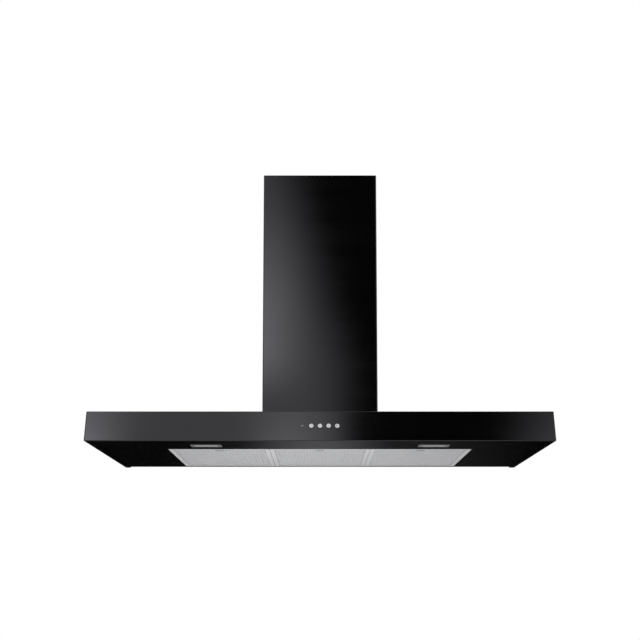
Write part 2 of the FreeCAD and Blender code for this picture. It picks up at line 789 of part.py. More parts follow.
def switch_housing():
    outside = centred("dim.switchHalfWidth", "dim.switchHalfHeight")
    inside = centred("dim.switchHalfWidth - dim.switchWall", "dim.switchHalfHeight - dim.switchWall")
    blank = [box("switch_block", *outside, ("-dim.switchDepth", housingFront))]
    tools = [box("switch_hollow", *inside, ("-dim.switchDepth - dim.overrun", housingBack))]
    through = past((housingBack, "dim.switchCollarProud"))
    for index in range(buttonCount):
        spot = (button_place(index), "0")
        blank.append(rod("switch_collar", collarOutside, "z", (housingFront, "dim.switchCollarProud"), spot))
        tools.append(rod("switch_bore", "dim.buttonRadius + dim.switchGap", "z", through, spot))
    lightSlot = box("light_slot", about("dim.indicatorPlace", "(dim.indicatorLength / 2 + dim.indicatorGap)"),
                    mid_span("dim.indicatorWidth / 2 + dim.indicatorGap"), through)
    hollowed = cut("switch_shell", join("switch_blank", blank), tools + [lightSlot])
    pillars = []
    for side in sides.values():
        for up in sides.values():
            spot = (f"{side} * (dim.switchHalfWidth - dim.pillarInset)",
                    f"{up} * (dim.switchHalfHeight - dim.pillarInset)")
            pillars.append(rod("board_pillar", "dim.pillarRadius", "z", (boardFront, housingBack), spot))
    return node("switch_housing", on_face(join("switch_housing", [hollowed] + pillars)))


def button(index):
    body = new_body(f"button_{index + 1}")
    rim = "dim.buttonRadius"
    revolve(body, [
        ("0", "dim.buttonProud - dim.buttonDish"),
        ("dim.buttonDishRadius", "dim.buttonProud"),
        (f"{rim} - dim.buttonEdge", "dim.buttonProud"),
        (rim, "dim.buttonProud - dim.buttonEdge"),
        (rim, flangeFront),
        (f"{rim} + dim.buttonLip", flangeFront),
        (f"{rim} + dim.buttonLip", flangeBack),
        ("dim.buttonStemRadius", flangeBack),
        ("dim.buttonStemRadius", stemEnd),
        ("0", stemEnd),
    ])
    node(f"button_{index + 1}", on_face(body, button_place(index)))
    span = (f"{boardFront} + dim.springSeat", f"{flangeBack} - dim.springSeat")
    spring = sleeve(f"button_{index + 1}_spring", "dim.returnSpringRadius", "dim.returnSpringWire", "z", span,
                    ("0", "0"))
    node(f"button_{index + 1}_spring", on_face(spring, button_place(index)))


def control_board():
    half = centred("dim.switchHalfWidth - dim.switchWall - dim.switchGap",
                   "dim.switchHalfHeight - dim.switchWall - dim.switchGap")
    sheet = box("board_sheet", *half, (f"{boardFront} - dim.boardSheet", boardFront))
    node("control_board", on_face(sheet))
    halfSide = "dim.microswitchSide / 2"
    switches = [box("switch", about(button_place(index), halfSide), mid_span(halfSide), (boardFront, switchTop))
                for index in range(buttonCount)]
    node("microswitches", on_face(group("microswitches", switches)))
    length = "dim.indicatorLength / 2"
    lightBack = f"{housingBack} - dim.indicatorGap"
    window = box("light_window", *centred(length, "dim.indicatorWidth / 2"), (lightBack, "dim.housingGap"))
    back = box("light_back", *centred(f"{length} + dim.switchWall", "dim.indicatorWidth / 2 + dim.switchWall"),
               (f"{boardFront} + dim.indicatorGap", lightBack))
    node("indicator_light", on_face(join("indicator_light", [window, back]), "dim.indicatorPlace"))


# ---- chimney ----

def chimney_cover(name, half, front, rear, low, high):
    """A three-sided cover with short returns along the wall."""
    body = new_body(name)
    sheet = "dim.chimneySheet"
    inner = f"{half} - {sheet}"
    tip = f"{half} - dim.chimneyReturn"
    fold = f"{rear} - {sheet}"
    right = [(tip, fold), (tip, rear), (half, rear), (half, front)]
    left = [(f"-({x})", y) for x, y in reversed(right)]
    within = f"{front} + {sheet}"
    inside = [(f"-({inner})", fold), (f"-({inner})", within), (inner, within), (inner, fold)]
    profile = outline(new_sketch(body, "XY_Plane", low), right + left + inside)
    feature = pad(body, profile, f"({high}) - ({low})")
    edge, face = number(half), number(front)
    feature = round_edges(body, feature, "dim.cornerBend", lambda c: near(abs(c.x), edge) and near(c.y, face))
    thick = number(sheet)
    round_edges(body, feature, f"dim.cornerBend - {sheet}",
                lambda c: near(abs(c.x), edge - thick) and near(c.y, face + thick))
    return body


chimneyHalf = "(dim.chimneyWidth / 2)"
chimneyStep = "(dim.chimneySheet + dim.chimneyGap)"
upperHalf = f"({chimneyHalf} - {chimneyStep})"
upperFront = f"(-dim.chimneyDepth + {chimneyStep})"
upperRear = f"(-{chimneyStep})"
upperLow = "(dim.canopyHeight + dim.upperRaise)"
upperHigh = "(dim.chimneyTop - dim.upperDrop)"


def chimney_lower():
    low = "dim.canopyHeight"
    cover = chimney_cover("lower_cover", chimneyHalf, "(-dim.chimneyDepth)", "0", low, "dim.chimneyTop")
    frontInside = "-dim.chimneyDepth + dim.chimneySheet"
    footDepth = (f"{frontInside} - dim.chimneySheet / 2", f"{frontInside} + dim.chimneyFoot")
    footHeight = (low, f"{low} + dim.chimneySheet")
    foot = box("chimney_foot", mid_span(f"{chimneyHalf} - 1.5 * dim.chimneyFoot"), footDepth, footHeight)
    holes = screw_holes("foot_screw_hole", footScrewPlaces, past(footHeight))
    return node("chimney_lower", cut("chimney_lower", join("lower_with_foot", [cover, foot]), holes))


def chimney_upper():
    cover = chimney_cover("upper_cover", upperHalf, upperFront, upperRear, upperLow, upperHigh)
    high = f"{upperHigh} - dim.ventDrop"
    middle = f"({upperFront} + {upperRear}) / 2"
    slots = []
    for index in range(ventCount):
        y = f"{middle} + {index - (ventCount - 1) / 2} * dim.ventPitch"
        slots.append(box("vent", past(mid_span(upperHalf)), about(y, "dim.ventWidth / 2"),
                         (f"{high} - dim.ventHeight", high)))
    node("chimney_upper", cut("chimney_upper", cover, slots))
    armHalf = "(dim.chimneyWidth / 2 - dim.chimneyReturn - dim.bracketInset)"
    sheet = "dim.wallBracketSheet"
    span = (f"{upperHigh} - dim.bracketDrop - dim.wallBracketHeight", f"{upperHigh} - dim.bracketDrop")
    pieces = [box("bracket_back", mid_span(armHalf), (f"-{sheet}", "0"), span)]
    for arm, ear in zip(mirrored((f"{armHalf} - {sheet}", armHalf)),
                        mirrored((f"{armHalf} - {sheet}", f"{upperHalf} - dim.chimneySheet - dim.bracketGap"))):
        pieces.append(box("bracket_arm", arm, ("-dim.wallBracketDepth", "0"), span))
        earDepth = ("-dim.wallBracketDepth", f"-dim.wallBracketDepth + {sheet}")
        pieces.append(box("bracket_ear", ear, earDepth, span))
    height = f"({span[0]} + dim.wallBracketHeight / 2)"
    holes = [rod("bracket_hole", "dim.wallBracketHoleRadius", "y", past((f"-{sheet}", "0")),
                 (f"{side} * dim.wallBracketHoleSpan / 2", height)) for side in sides.values()]
    node("chimney_bracket", cut("chimney_bracket", join("bracket_blank", pieces), holes))


# ---- motor box and blower ----

def motor_box():
    half = halfBox
    sheet = "dim.boxSheet"
    floor = "dim.canopyHeight"
    block = box("motor_box_block", mid_span(half), (boxFront, boxRear), (floor, boxRoof))
    hollow = box("motor_box_hollow", mid_span(f"{half} - {sheet}"),
                 (f"{boxFront} + {sheet}", f"{boxRear} - {sheet}"), (f"{floor} - dim.overrun", boxInside))
    shell = cut("motor_box_shell", block, [hollow])
    flanges = [box("motor_box_flange", span, (boxFront, boxRear), (floor, f"{floor} + {sheet}"))
               for span in mirrored((f"{half} - {sheet}", f"{half} + dim.boxFlange"))]
    holes = [rod("outlet_hole", collarInside, "z", past((boxInside, boxRoof)), ("0", boxMiddle))]
    holes += screw_holes("flange_hole", boxScrewPlaces, past((floor, f"{floor} + {sheet}")))
    holes += screw_holes("collar_hole", collarScrewPlaces, past((boxInside, boxRoof)))
    return node("motor_box", cut("motor_box", join("motor_box_folded", [shell] + flanges), holes))


def blower_scroll(side_name, side):
    def outline_solid(name, inset, span):
        drum = rod(f"{name}_drum", f"dim.scrollRadius - {inset}", "x", span, (scrollMiddle, scrollHeight))
        neckTop = f"{boxInside} + {inset}"
        neckSpan = (f"{neckFront} + {inset}", f"{neckRear} - {inset}")
        return join(name, [drum, box(f"{name}_neck", span, neckSpan, (scrollHeight, neckTop))])

    outer = ("0", halfScroll) if side > 0 else (f"-{halfScroll}", "0")
    deep = f"{halfScroll} - dim.scrollWall"
    inner = ("-dim.overrun", deep) if side > 0 else (f"-({deep})", "dim.overrun")
    shell = outline_solid("scroll_outside", "0", outer)
    hollow = outline_solid("scroll_inside", "dim.scrollWall", inner)
    inlet = rod("scroll_inlet", "dim.inletRadius", "x", past(outer), (impellerMiddle, scrollHeight))
    return node(f"blower_scroll_{side_name}", cut(f"blower_scroll_{side_name}", shell, [hollow, inlet]))


def impeller():
    body = new_body("impeller")
    disc = circle(new_sketch(body, "YZ_Plane"), "0", "0", "dim.impellerRadius")
    pad(body, disc, "dim.discSheet", symmetric=True)
    hub = circle(new_sketch(body, "YZ_Plane"), "0", "0", "dim.hubRadius")
    pad(body, hub, "dim.hubLength", symmetric=True)
    ringStart = "(dim.impellerWidth / 2 - dim.discSheet)"
    for lift in (ringStart, "(-dim.impellerWidth / 2)"):
        ring = circle(new_sketch(body, "YZ_Plane", lift), "0", "0", "dim.impellerRadius")
        circle(ring, "0", "0", "dim.impellerRadius - dim.bladeDepth")
        pad(body, ring, "dim.discSheet")
    root = "dim.impellerRadius - dim.bladeDepth + dim.bladeRoot"
    tip = "dim.impellerRadius - 2 * dim.bladeRoot"
    blade = outline(new_sketch(body, "YZ_Plane"), [
        ("-dim.bladeSheet / 2", root),
        ("dim.bladeSheet / 2", root),
        ("dim.bladeSweep + dim.bladeSheet / 2", tip),
        ("dim.bladeSweep - dim.bladeSheet / 2", tip),
    ])
    fin = pad(body, blade, "dim.impellerWidth - dim.discSheet", symmetric=True)
    around = body.newObject("PartDesign::PolarPattern", "impeller_blades")
    around.Originals = [fin]
    around.Axis = (blade, ["N_Axis"])
    around.Angle = 360
    around.Occurrences = bladeCount
    body.Tip = around
    doc.recompute()
    bore = circle(new_sketch(body, "YZ_Plane"), "0", "0", "dim.shaftRadius + dim.shaftGap")
    pocket(body, bore, "2 * dim.hubLength")
    node("impeller", place(body, "0", impellerMiddle, scrollHeight))
    shaftSpan = ("-dim.motorStart", f"{halfScroll} + dim.mountSheet + dim.shaftTail")
    node("motor_shaft", rod("motor_shaft", "dim.shaftRadius", "x", shaftSpan, (impellerMiddle, scrollHeight)))


def motor():
    body = new_body("motor_can")
    bore = "dim.shaftRadius + dim.shaftGap"
    revolve(body, [
        (bore, "dim.motorStart - dim.shaftTail"),
        ("2.5 * dim.shaftRadius", "dim.motorStart - dim.shaftTail"),
        ("2.5 * dim.shaftRadius", "dim.motorStart"),
        ("dim.motorRadius - dim.motorEdge", "dim.motorStart"),
        ("dim.motorRadius", "dim.motorStart + dim.motorEdge"),
        ("dim.motorRadius", f"{halfScroll} - dim.motorEdge"),
        ("dim.motorRadius - dim.motorEdge", halfScroll),
        (bore, halfScroll),
    ])
    body.Placement = FreeCAD.Placement(FreeCAD.Vector(), turns["x"])
    node("motor_can", place(body, "0", impellerMiddle, scrollHeight))
    span = (halfScroll, f"{halfScroll} + dim.mountSheet")
    middle = (impellerMiddle, scrollHeight)
    ring = sleeve("mount_ring", "(dim.inletRadius + dim.mountRim)", "(dim.mountRim + dim.mountSheet)", "x",
                  span, middle)
    plate = rod("mount_plate", "dim.motorRadius - 2 * dim.motorEdge", "x", span, middle)
    arms = []
    for index in range(mountArms):
        turn = 360 / mountArms * index
        bar = box("mount_bar", span, mid_span("dim.mountArm / 2"), ("0", "dim.inletRadius"))
        arm = group("mount_arm", [bar])
        arm.Placement = FreeCAD.Placement(FreeCAD.Vector(), FreeCAD.Rotation(FreeCAD.Vector(1, 0, 0), turn))
        arms.append(place(arm, "0", *middle))
    mount = cut("motor_mount", join("mount_blank", [ring, plate] + arms),
                [rod("mount_bore", "1.5 * dim.shaftRadius", "x", past(span), middle)])
    node("motor_mount", mount)


# ---- outlet ----

def outlet_collar():
    outside = "dim.collarRadius"
    top = "dim.collarHeight"
    ledgeTop = "(dim.flapHeight - dim.flapSheet / 2 - dim.flapStopGap)"
    ledgeUnder = f"({ledgeTop} - dim.flapLedgeSheet)"
    body = new_body("collar_turned")
    revolve(body, [
        (collarInside, "0"),
        (f"{outside} + dim.collarFlange", "0"),
        (f"{outside} + dim.collarFlange", "dim.collarFlangeSheet"),
        (outside, "dim.collarFlangeSheet"),
        (outside, top),
        (collarInside, top),
        (collarInside, ledgeTop),
        (f"{collarInside} - dim.flapLedge", ledgeTop),
        (f"{collarInside} - dim.flapLedge", ledgeUnder),
        (collarInside, ledgeUnder),
    ])
    place(body, "0", boxMiddle, boxRoof)
    pinMiddle = (boxMiddle, flapMiddle)
    pinHole = rod("pin_hole", "dim.flapPinRadius + dim.shaftGap", "x", past(mid_span(outside)), pinMiddle)
    flange = (boxRoof, f"{boxRoof} + dim.collarFlangeSheet")
    holes = screw_holes("collar_flange_hole", collarScrewPlaces, past(flange))
    node("outlet_collar", cut("outlet_collar", body, [pinHole] + holes))
    pinSpan = mid_span(f"{outside} - dim.shaftGap")
    node("damper_pin", rod("damper_pin", "dim.flapPinRadius", "x", pinSpan, pinMiddle))


def damper_flap(name, side, starts):
    """A half disc with two knuckles on the pin; side is -1 towards the front."""
    sheet = ("-dim.flapSheet / 2", "dim.flapSheet / 2")
    reach = f"({collarInside} - dim.flapGap)"
    clear = "(dim.knuckleRadius + dim.knuckleClear)"
    disc = rod("flap_disc", reach, "z", sheet, ("0", "0"))
    depth = (clear, f"{reach} + dim.overrun") if side > 0 else (f"-{reach} - dim.overrun", f"-{clear}")
    pieces = [common("flap_half", disc, box("flap_side", mid_span(reach), depth, past(sheet)))]
    web = ("0", f"{clear} + dim.overrun") if side > 0 else (f"-{clear} - dim.overrun", "0")
    for start in starts:
        span = (start, f"{start} + dim.knuckleLength")
        pieces.append(rod("knuckle", "dim.knuckleRadius", "x", span, ("0", "0")))
        pieces.append(box("knuckle_web", span, web, sheet))
    bore = rod("knuckle_bore", "dim.flapPinRadius + dim.flapPinGap", "x", mid_span(reach), ("0", "0"))
    piece = cut(name, join(f"{name}_blank", pieces), [bore])
    node(name, place(piece, "0", boxMiddle, flapMiddle))


def dampers():
    damper_flap("damper_front", -1, ("-dim.knuckleOuter - dim.knuckleLength", "dim.knuckleInner"))
    damper_flap("damper_rear", 1, ("-dim.knuckleInner - dim.knuckleLength", "dim.knuckleOuter"))


# ---- electrics ----

glandSpot = (f"({terminalLeft} + {terminalRight}) / 2", f"{boxRoof} + dim.terminalHeight / 2")


def within(inset):
    """The terminal box's outline on X and Y, drawn in by an inset."""
    return ((f"{terminalLeft} + {inset}", f"{terminalRight} - {inset}"),
            (f"{terminalFront} + {inset}", f"{terminalRear} - {inset}"))


def terminal_box():
    wall = "dim.terminalWall"
    high = f"({boxRoof} + dim.terminalHeight)"
    block = box("terminal_outside", *within("0"), (boxRoof, high))
    hollow = box("terminal_hollow", *within(wall), (f"{boxRoof} + {wall}", f"{high} + dim.overrun"))
    through = past((f"{terminalRear} - {wall}", terminalRear))
    gland = rod("gland_hole", "dim.glandThread + dim.screwGap", "y", through, glandSpot)
    node("terminal_box", cut("terminal_box", block, [hollow, gland]))
    inset = f"({wall} + dim.lidGap)"
    lid = box("lid", *within("0"), (high, f"{high} + {wall}"))
    plug = box("lid_plug", *within(inset), (f"{high} - dim.lidDrop", high))
    recess = box("lid_recess", *within(f"{inset} + {wall}"), (f"{high} - dim.lidDrop - dim.overrun", high))
    node("terminal_cover", cut("terminal_cover", join("lid_blank", [lid, plug]), [recess]))


def terminal_contents():
    floor = f"({boxRoof} + dim.terminalWall)"
    middle = glandSpot[0]
    stripStart = f"{terminalFront} + dim.stripInset"
    stripEnd = f"{stripStart} + dim.stripLength"
    stripTop = f"{floor} + dim.stripHeight"
    strip = box("strip_block", about(middle, "dim.stripWidth / 2"), (stripStart, stripEnd), (floor, stripTop))
    wells = []
    for step in range(wellCount):
        for row in sides.values():
            spot = (f"{middle} + {row} * dim.wellRow",
                    f"{stripStart} + dim.wellPitch / 2 + {step} * dim.wellPitch")
            depth = (f"{stripTop} - dim.wellDepth", f"{stripTop} + dim.overrun")
            wells.append(rod("wire_well", "dim.wellRadius", "z", depth, spot))
    node("terminal_strip", cut("terminal_strip", strip, wells))
    start = f"{stripEnd} + dim.capacitorSpace"
    along = (start, f"{start} + dim.capacitorLength")
    spot = (middle, f"{floor} + dim.capacitorRadius + dim.slideGap")
    node("run_capacitor", rod("run_capacitor", "dim.capacitorRadius", "y", along, spot))


def cable_gland():
    body = new_body("cable_gland")
    rim = "dim.glandRadius"
    nut = f"{rim} + dim.glandRim"
    inside = "-dim.terminalWall"
    revolve(body, [
        ("dim.cordRadius", f"{inside} - dim.glandNut"),
        (nut, f"{inside} - dim.glandNut"),
        (nut, inside),
        ("dim.glandThread", inside),
        ("dim.glandThread", "0"),
        (nut, "0"),
        (nut, "dim.glandCollar"),
        (rim, "dim.glandCollar + dim.glandRim"),
        (rim, "dim.glandLength - dim.glandCollar"),
        (f"{rim} - dim.glandTaper", "dim.glandLength"),
        ("dim.cordRadius", "dim.glandLength"),
    ])
    body.Placement = FreeCAD.Placement(FreeCAD.Vector(), turns["y"])
    node("cable_gland", place(body, glandSpot[0], terminalRear, glandSpot[1]))


# ---- screws ----

def screws(label, places, seat, up, head="dim.screwHead"):
    """Screws whose heads bear on the plane seat; up is 1 where the shank points up."""
    pieces = []
    for x, y in places:
        shankEnd = f"{seat} + {up} * dim.screwLength"
        headEnd = f"{seat} - {up} * {head}"
        shank = (seat, shankEnd) if up > 0 else (shankEnd, seat)
        cap = (headEnd, seat) if up > 0 else (seat, headEnd)
        pieces.append(join("screw", [rod("screw_head", "dim.screwHeadRadius", "z", cap, (x, y)),
                                     rod("screw_shank", "dim.screwRadius", "z", shank, (x, y))]))
    node(label, group(label, pieces))


def all_screws():
    screws("panel_screws", panelScrewPlaces, "dim.skinSheet", 1, "(dim.skinSheet - dim.flushGap)")
    screws("chimney_screws", footScrewPlaces, canopyInside, 1)
    screws("motor_box_screws", boxScrewPlaces, "(dim.canopyHeight + dim.boxSheet)", -1)
    screws("collar_screws", collarScrewPlaces, f"({boxRoof} + dim.collarFlangeSheet)", -1)


def build():
    canopy_skin()
    back_plate()
    underside_panel()
    filter_rails()
    filters()
    for side_name, side in sides.items():
        lamp(side_name, side)
    switch_housing()
    for index in range(buttonCount):
        button(index)
    control_board()
    chimney_lower()
    chimney_upper()
    motor_box()
    for side_name, side in sides.items():
        blower_scroll(side_name, side)
    impeller()
    motor()
    outlet_collar()
    dampers()
    terminal_box()
    terminal_contents()
    cable_gland()
    all_screws()
    doc.recompute()


def check_and_write():
    for thing in doc.Objects:
        if "Invalid" in thing.State or "Error" in thing.State:
            raise RuntimeError(f"{thing.Label}: {thing.State}")
    for thing in nodes:
        if thing.Shape.isNull() or not thing.Shape.isValid() or not thing.Shape.Solids:
            raise RuntimeError(f"{thing.Label}: no valid solid")
    os.makedirs("parts", exist_ok=True)
    for thing in nodes:
        thing.Shape.exportStep(f"parts/{thing.Label}.step")
        print(thing.Label, len(thing.Shape.Solids), round(thing.Shape.Volume))


build()
check_and_write()
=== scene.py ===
import math

import bpy
from mathutils import Matrix, Vector


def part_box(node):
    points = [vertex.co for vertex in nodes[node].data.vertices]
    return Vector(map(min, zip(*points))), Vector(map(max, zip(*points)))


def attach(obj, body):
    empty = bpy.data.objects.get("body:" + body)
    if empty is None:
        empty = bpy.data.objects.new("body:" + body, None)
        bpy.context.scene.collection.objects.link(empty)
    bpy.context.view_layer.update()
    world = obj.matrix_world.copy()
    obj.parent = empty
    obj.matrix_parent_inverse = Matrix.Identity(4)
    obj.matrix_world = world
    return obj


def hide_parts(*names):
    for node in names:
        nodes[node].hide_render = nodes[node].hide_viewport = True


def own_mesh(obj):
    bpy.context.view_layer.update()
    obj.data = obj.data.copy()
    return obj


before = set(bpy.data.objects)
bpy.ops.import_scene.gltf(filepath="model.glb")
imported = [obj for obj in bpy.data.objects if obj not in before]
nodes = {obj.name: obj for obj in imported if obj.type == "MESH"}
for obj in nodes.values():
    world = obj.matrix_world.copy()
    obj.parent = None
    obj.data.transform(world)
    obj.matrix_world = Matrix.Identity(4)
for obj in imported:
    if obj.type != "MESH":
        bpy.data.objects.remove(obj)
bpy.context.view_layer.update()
print("frame loaded:", len(nodes), "CAD nodes")


class Wire:                                     # one node output, so that shader maths reads as sums
    def __init__(self, graph, socket):
        self.graph = graph
        self.socket = socket

    def sum(self, operation, *values):
        return self.graph.node("ShaderNodeMath", {"operation": operation}, dict(enumerate(values)))

    def __add__(self, other):
        return self.sum("ADD", self, other)

    def __radd__(self, other):
        return self.sum("ADD", other, self)

    def __sub__(self, other):
        return self.sum("SUBTRACT", self, other)

    def __rsub__(self, other):
        return self.sum("SUBTRACT", other, self)

    def __mul__(self, other):
        return self.sum("MULTIPLY", self, other)

    def __rmul__(self, other):
        return self.sum("MULTIPLY", other, self)

    def __truediv__(self, other):
        return self.sum("DIVIDE", self, other)

    def __rtruediv__(self, other):
        return self.sum("DIVIDE", other, self)

    def __lt__(self, other):
        return self.sum("LESS_THAN", self, other)

    def __abs__(self):
        return self.sum("ABSOLUTE", self)

    def least(self, other):
        return self.sum("MINIMUM", self, other)

    def most(self, other):
        return self.sum("MAXIMUM", self, other)

    def folded(self, width):                    # runs up and down between 0 and width
        return self.sum("PINGPONG", self, width)


class Graph:                                    # a node tree that is built one call at a time
    def __init__(self, tree):
        self.tree = tree

    def node(self, kind, settings=None, sockets=None, output=0):    # output=None gives all by name
        made = self.tree.nodes.new(kind)
        for key, value in (settings or {}).items():
            setattr(made, key, value)
        for key, value in (sockets or {}).items():
            self.feed(made.inputs[key], value)
        if output is None:
            return {socket.name: Wire(self, socket) for socket in made.outputs}
        return Wire(self, made.outputs[output])

    def feed(self, socket, value):              # a wire, several wires or a plain value
        if isinstance(value, Wire):
            self.tree.links.new(value.socket, socket)
        elif isinstance(value, (list, tuple)) and isinstance(value[0], Wire):
            for part in value:
                self.tree.links.new(part.socket, socket)
        else:
            socket.default_value = value

    def axes(self, vector):
        return list(self.node("ShaderNodeSeparateXYZ", {}, {0: vector}, None).values())


class Finish(Graph):                            # a material with one Principled shader
    def __init__(self, name, **values):
        self.material = bpy.data.materials.new(name)
        self.material.use_nodes = True
        super().__init__(self.material.node_tree)
        self.shader = self.tree.nodes["Principled BSDF"]
        self.place = self.node("ShaderNodeTexCoord", output="Object")
        self.set(**values)

    def set(self, **values):                    # baseColor=... sets the socket named Base Color
        names = {socket.name.replace(" ", "").lower(): socket for socket in reversed(self.shader.inputs)}
        for key, value in values.items():
            if isinstance(value, tuple) and len(value) == 3:
                value = (*value, 1.0)
            self.feed(names[key.lower()], value)

    def stretched(self, scale):
        return self.node("ShaderNodeMapping", {}, {"Vector": self.place, "Scale": scale})

    def noise(self, scale, place=None, detail=2.0, rough=0.5, output=0):
        return self.node("ShaderNodeTexNoise", {"noise_dimensions": "3D"},
                         {"Vector": place or self.place, "Scale": scale, "Detail": detail, "Roughness": rough},
                         output)

    def cells(self, scale, place, feature="F1", output="Distance"):
        return self.node("ShaderNodeTexVoronoi", {"feature": feature}, {"Vector": place, "Scale": scale}, output)

    def span(self, value, low, high, toLow=0.0, toHigh=1.0):        # a clamped change of range
        return self.node("ShaderNodeMapRange", {"clamp": True},
                         {"Value": value, "From Min": low, "From Max": high, "To Min": toLow, "To Max": toHigh})

    def blend(self, share, *colors):            # two colours by a share
        first, second = [color if isinstance(color, Wire) else (*color, 1.0) for color in colors]
        return self.node("ShaderNodeMix", {"data_type": "RGBA"}, {"Factor": share, "A": first, "B": second},
                         "Result")

    def relief(self, height, distance, strength=1.0):
        return self.node("ShaderNodeBump", {}, {"Height": height, "Distance": distance, "Strength": strength})


class Grower(Graph):                            # a Geometry Nodes tree with named inputs
    def __init__(self, name, sizes):
        super().__init__(bpy.data.node_groups.new(name, "GeometryNodeTree"))
        self.sizes = sizes
        sockets = self.tree.interface
        sockets.new_socket(name="Geometry", in_out="INPUT", socket_type="NodeSocketGeometry")
        for key, value in sizes.items():
            kind = "NodeSocketInt" if isinstance(value, int) else "NodeSocketFloat"
            sockets.new_socket(name=key, in_out="INPUT", socket_type=kind)
        sockets.new_socket(name="Geometry", in_out="OUTPUT", socket_type="NodeSocketGeometry")
        self.inputs = self.node("NodeGroupInput", output=None)

    def vector(self, x=0.0, y=0.0, z=0.0):
        return self.node("ShaderNodeCombineXYZ", {}, {"X": x, "Y": y, "Z": z})

    def moved(self, shape, shift=(0, 0, 0), turn=(0, 0, 0)):
        return self.node("GeometryNodeTransform", {},
                         {"Geometry": shape, "Translation": shift, "Rotation": turn})

    def boolean(self, operation, sockets):
        return self.node("GeometryNodeMeshBoolean", {"operation": operation, "solver": "EXACT"}, sockets)

    def ends(self, shape, material):            # every tree ends in real mesh with its material
        solid = self.node("GeometryNodeRealizeInstances", {}, {0: shape})
        finished = self.node("GeometryNodeSetMaterial", {}, {"Geometry": solid, "Material": material})
        self.node("NodeGroupOutput", {}, {0: finished}, None)

    def grow(self, name, hostMesh, changes=None):       # the finished plain mesh for one body
        host = bpy.data.objects.new(name + "Host", hostMesh)
        bpy.context.scene.collection.objects.link(host)
        modifier = host.modifiers.new("grown", "NODES")
        modifier.node_group = self.tree
        values = {**self.sizes, **(changes or {})}
        for item in self.tree.interface.items_tree:
            if item.in_out == "INPUT" and item.name in values:
                modifier[item.identifier] = values[item.name]
        depsgraph = bpy.context.evaluated_depsgraph_get()
        mesh = bpy.data.meshes.new_from_object(host.evaluated_get(depsgraph))
        host.modifiers.remove(modifier)
        bpy.data.objects.remove(host)
        mesh.name = name
        return mesh


def points(name, spots=((0.0, 0.0, 0.0),)):     # a host mesh that only holds the places of copies
    mesh = bpy.data.meshes.new(name)
    mesh.from_pydata([tuple(spot) for spot in spots], [], [])
    return mesh


def piece(name, mesh, body, stands=(), smooth=35):
    made = bpy.data.objects.new(name, mesh)
    bpy.context.scene.collection.objects.link(made)
    if smooth:
        mesh.shade_smooth()
        mesh.set_sharp_from_angle(angle=math.radians(smooth))
    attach(made, body)
    if stands:
        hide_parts(*stands)
    return made


def wear(finish, *names):                       # gives CAD nodes a finish
    for name in names:
        if not nodes[name].material_slots:
            nodes[name].data.materials.append(None)
        for slot in nodes[name].material_slots:
            slot.link = "OBJECT"
            slot.material = finish.material


blackPaint = {"color": (0.0006, 0.0006, 0.0007), "dusty": (0.0014, 0.0014, 0.0016), "roughness": 0.07,
              "patch": 5.5, "wipe": 3.0, "wipeStretch": (1.0, 1.0, 7.0), "grain": 1900, "peel": 620,
              "peelDepth": 0.000004}


def makePaint(name, sizes):
    finish = Finish(name, specularIorLevel=0.5)
    patches = finish.span(finish.noise(sizes["patch"], detail=4.0), 0.35, 0.75)
    wiped = finish.noise(sizes["wipe"], finish.stretched(sizes["wipeStretch"]), detail=5.0, rough=0.6)
    gloss = finish.span(wiped, 0.3, 0.7, sizes["roughness"] - 0.01, sizes["roughness"] + 0.02)
    grain = finish.noise(sizes["grain"], detail=1.0)
    peel = finish.noise(sizes["peel"])
    finish.set(baseColor=finish.blend(patches, sizes["color"], sizes["dusty"]),
               roughness=gloss + (grain - 0.5) * 0.02,
               normal=finish.relief(peel + grain * 0.25, sizes["peelDepth"]))
    return finish


wear(makePaint("satinBlackPaint", blackPaint), "canopy_skin", "underside_panel", "chimney_lower", "chimney_upper")
print("paint done")


galvanised = {"light": (0.50, 0.51, 0.52), "dark": (0.33, 0.34, 0.355), "spangle": 85, "warp": 0.006,
              "cloud": 300, "grain": 420, "grainDepth": 0.00002}


def makeGalvanised(name, sizes):                # each spangle has its own tone
    finish = Finish(name, metallic=1.0)
    drift = finish.node("ShaderNodeVectorMath", {"operation": "SCALE"},
                        {0: finish.noise(35, output="Color"), "Scale": sizes["warp"]})
    bent = finish.node("ShaderNodeVectorMath", {"operation": "ADD"}, {0: finish.place, 1: drift})
    tone = finish.axes(finish.cells(sizes["spangle"], bent, output="Color"))[0]
    finish.set(baseColor=finish.blend(tone, sizes["dark"], sizes["light"]),
               roughness=finish.span(tone, 0.0, 1.0, 0.34, 0.52) + (finish.noise(sizes["cloud"]) - 0.5) * 0.08,
               normal=finish.relief(finish.noise(sizes["grain"], detail=3.0), sizes["grainDepth"], 0.6))
    return finish


wear(makeGalvanised("galvanisedSheet", galvanised), "back_plate", "filter_rails", "chimney_bracket", "motor_box")


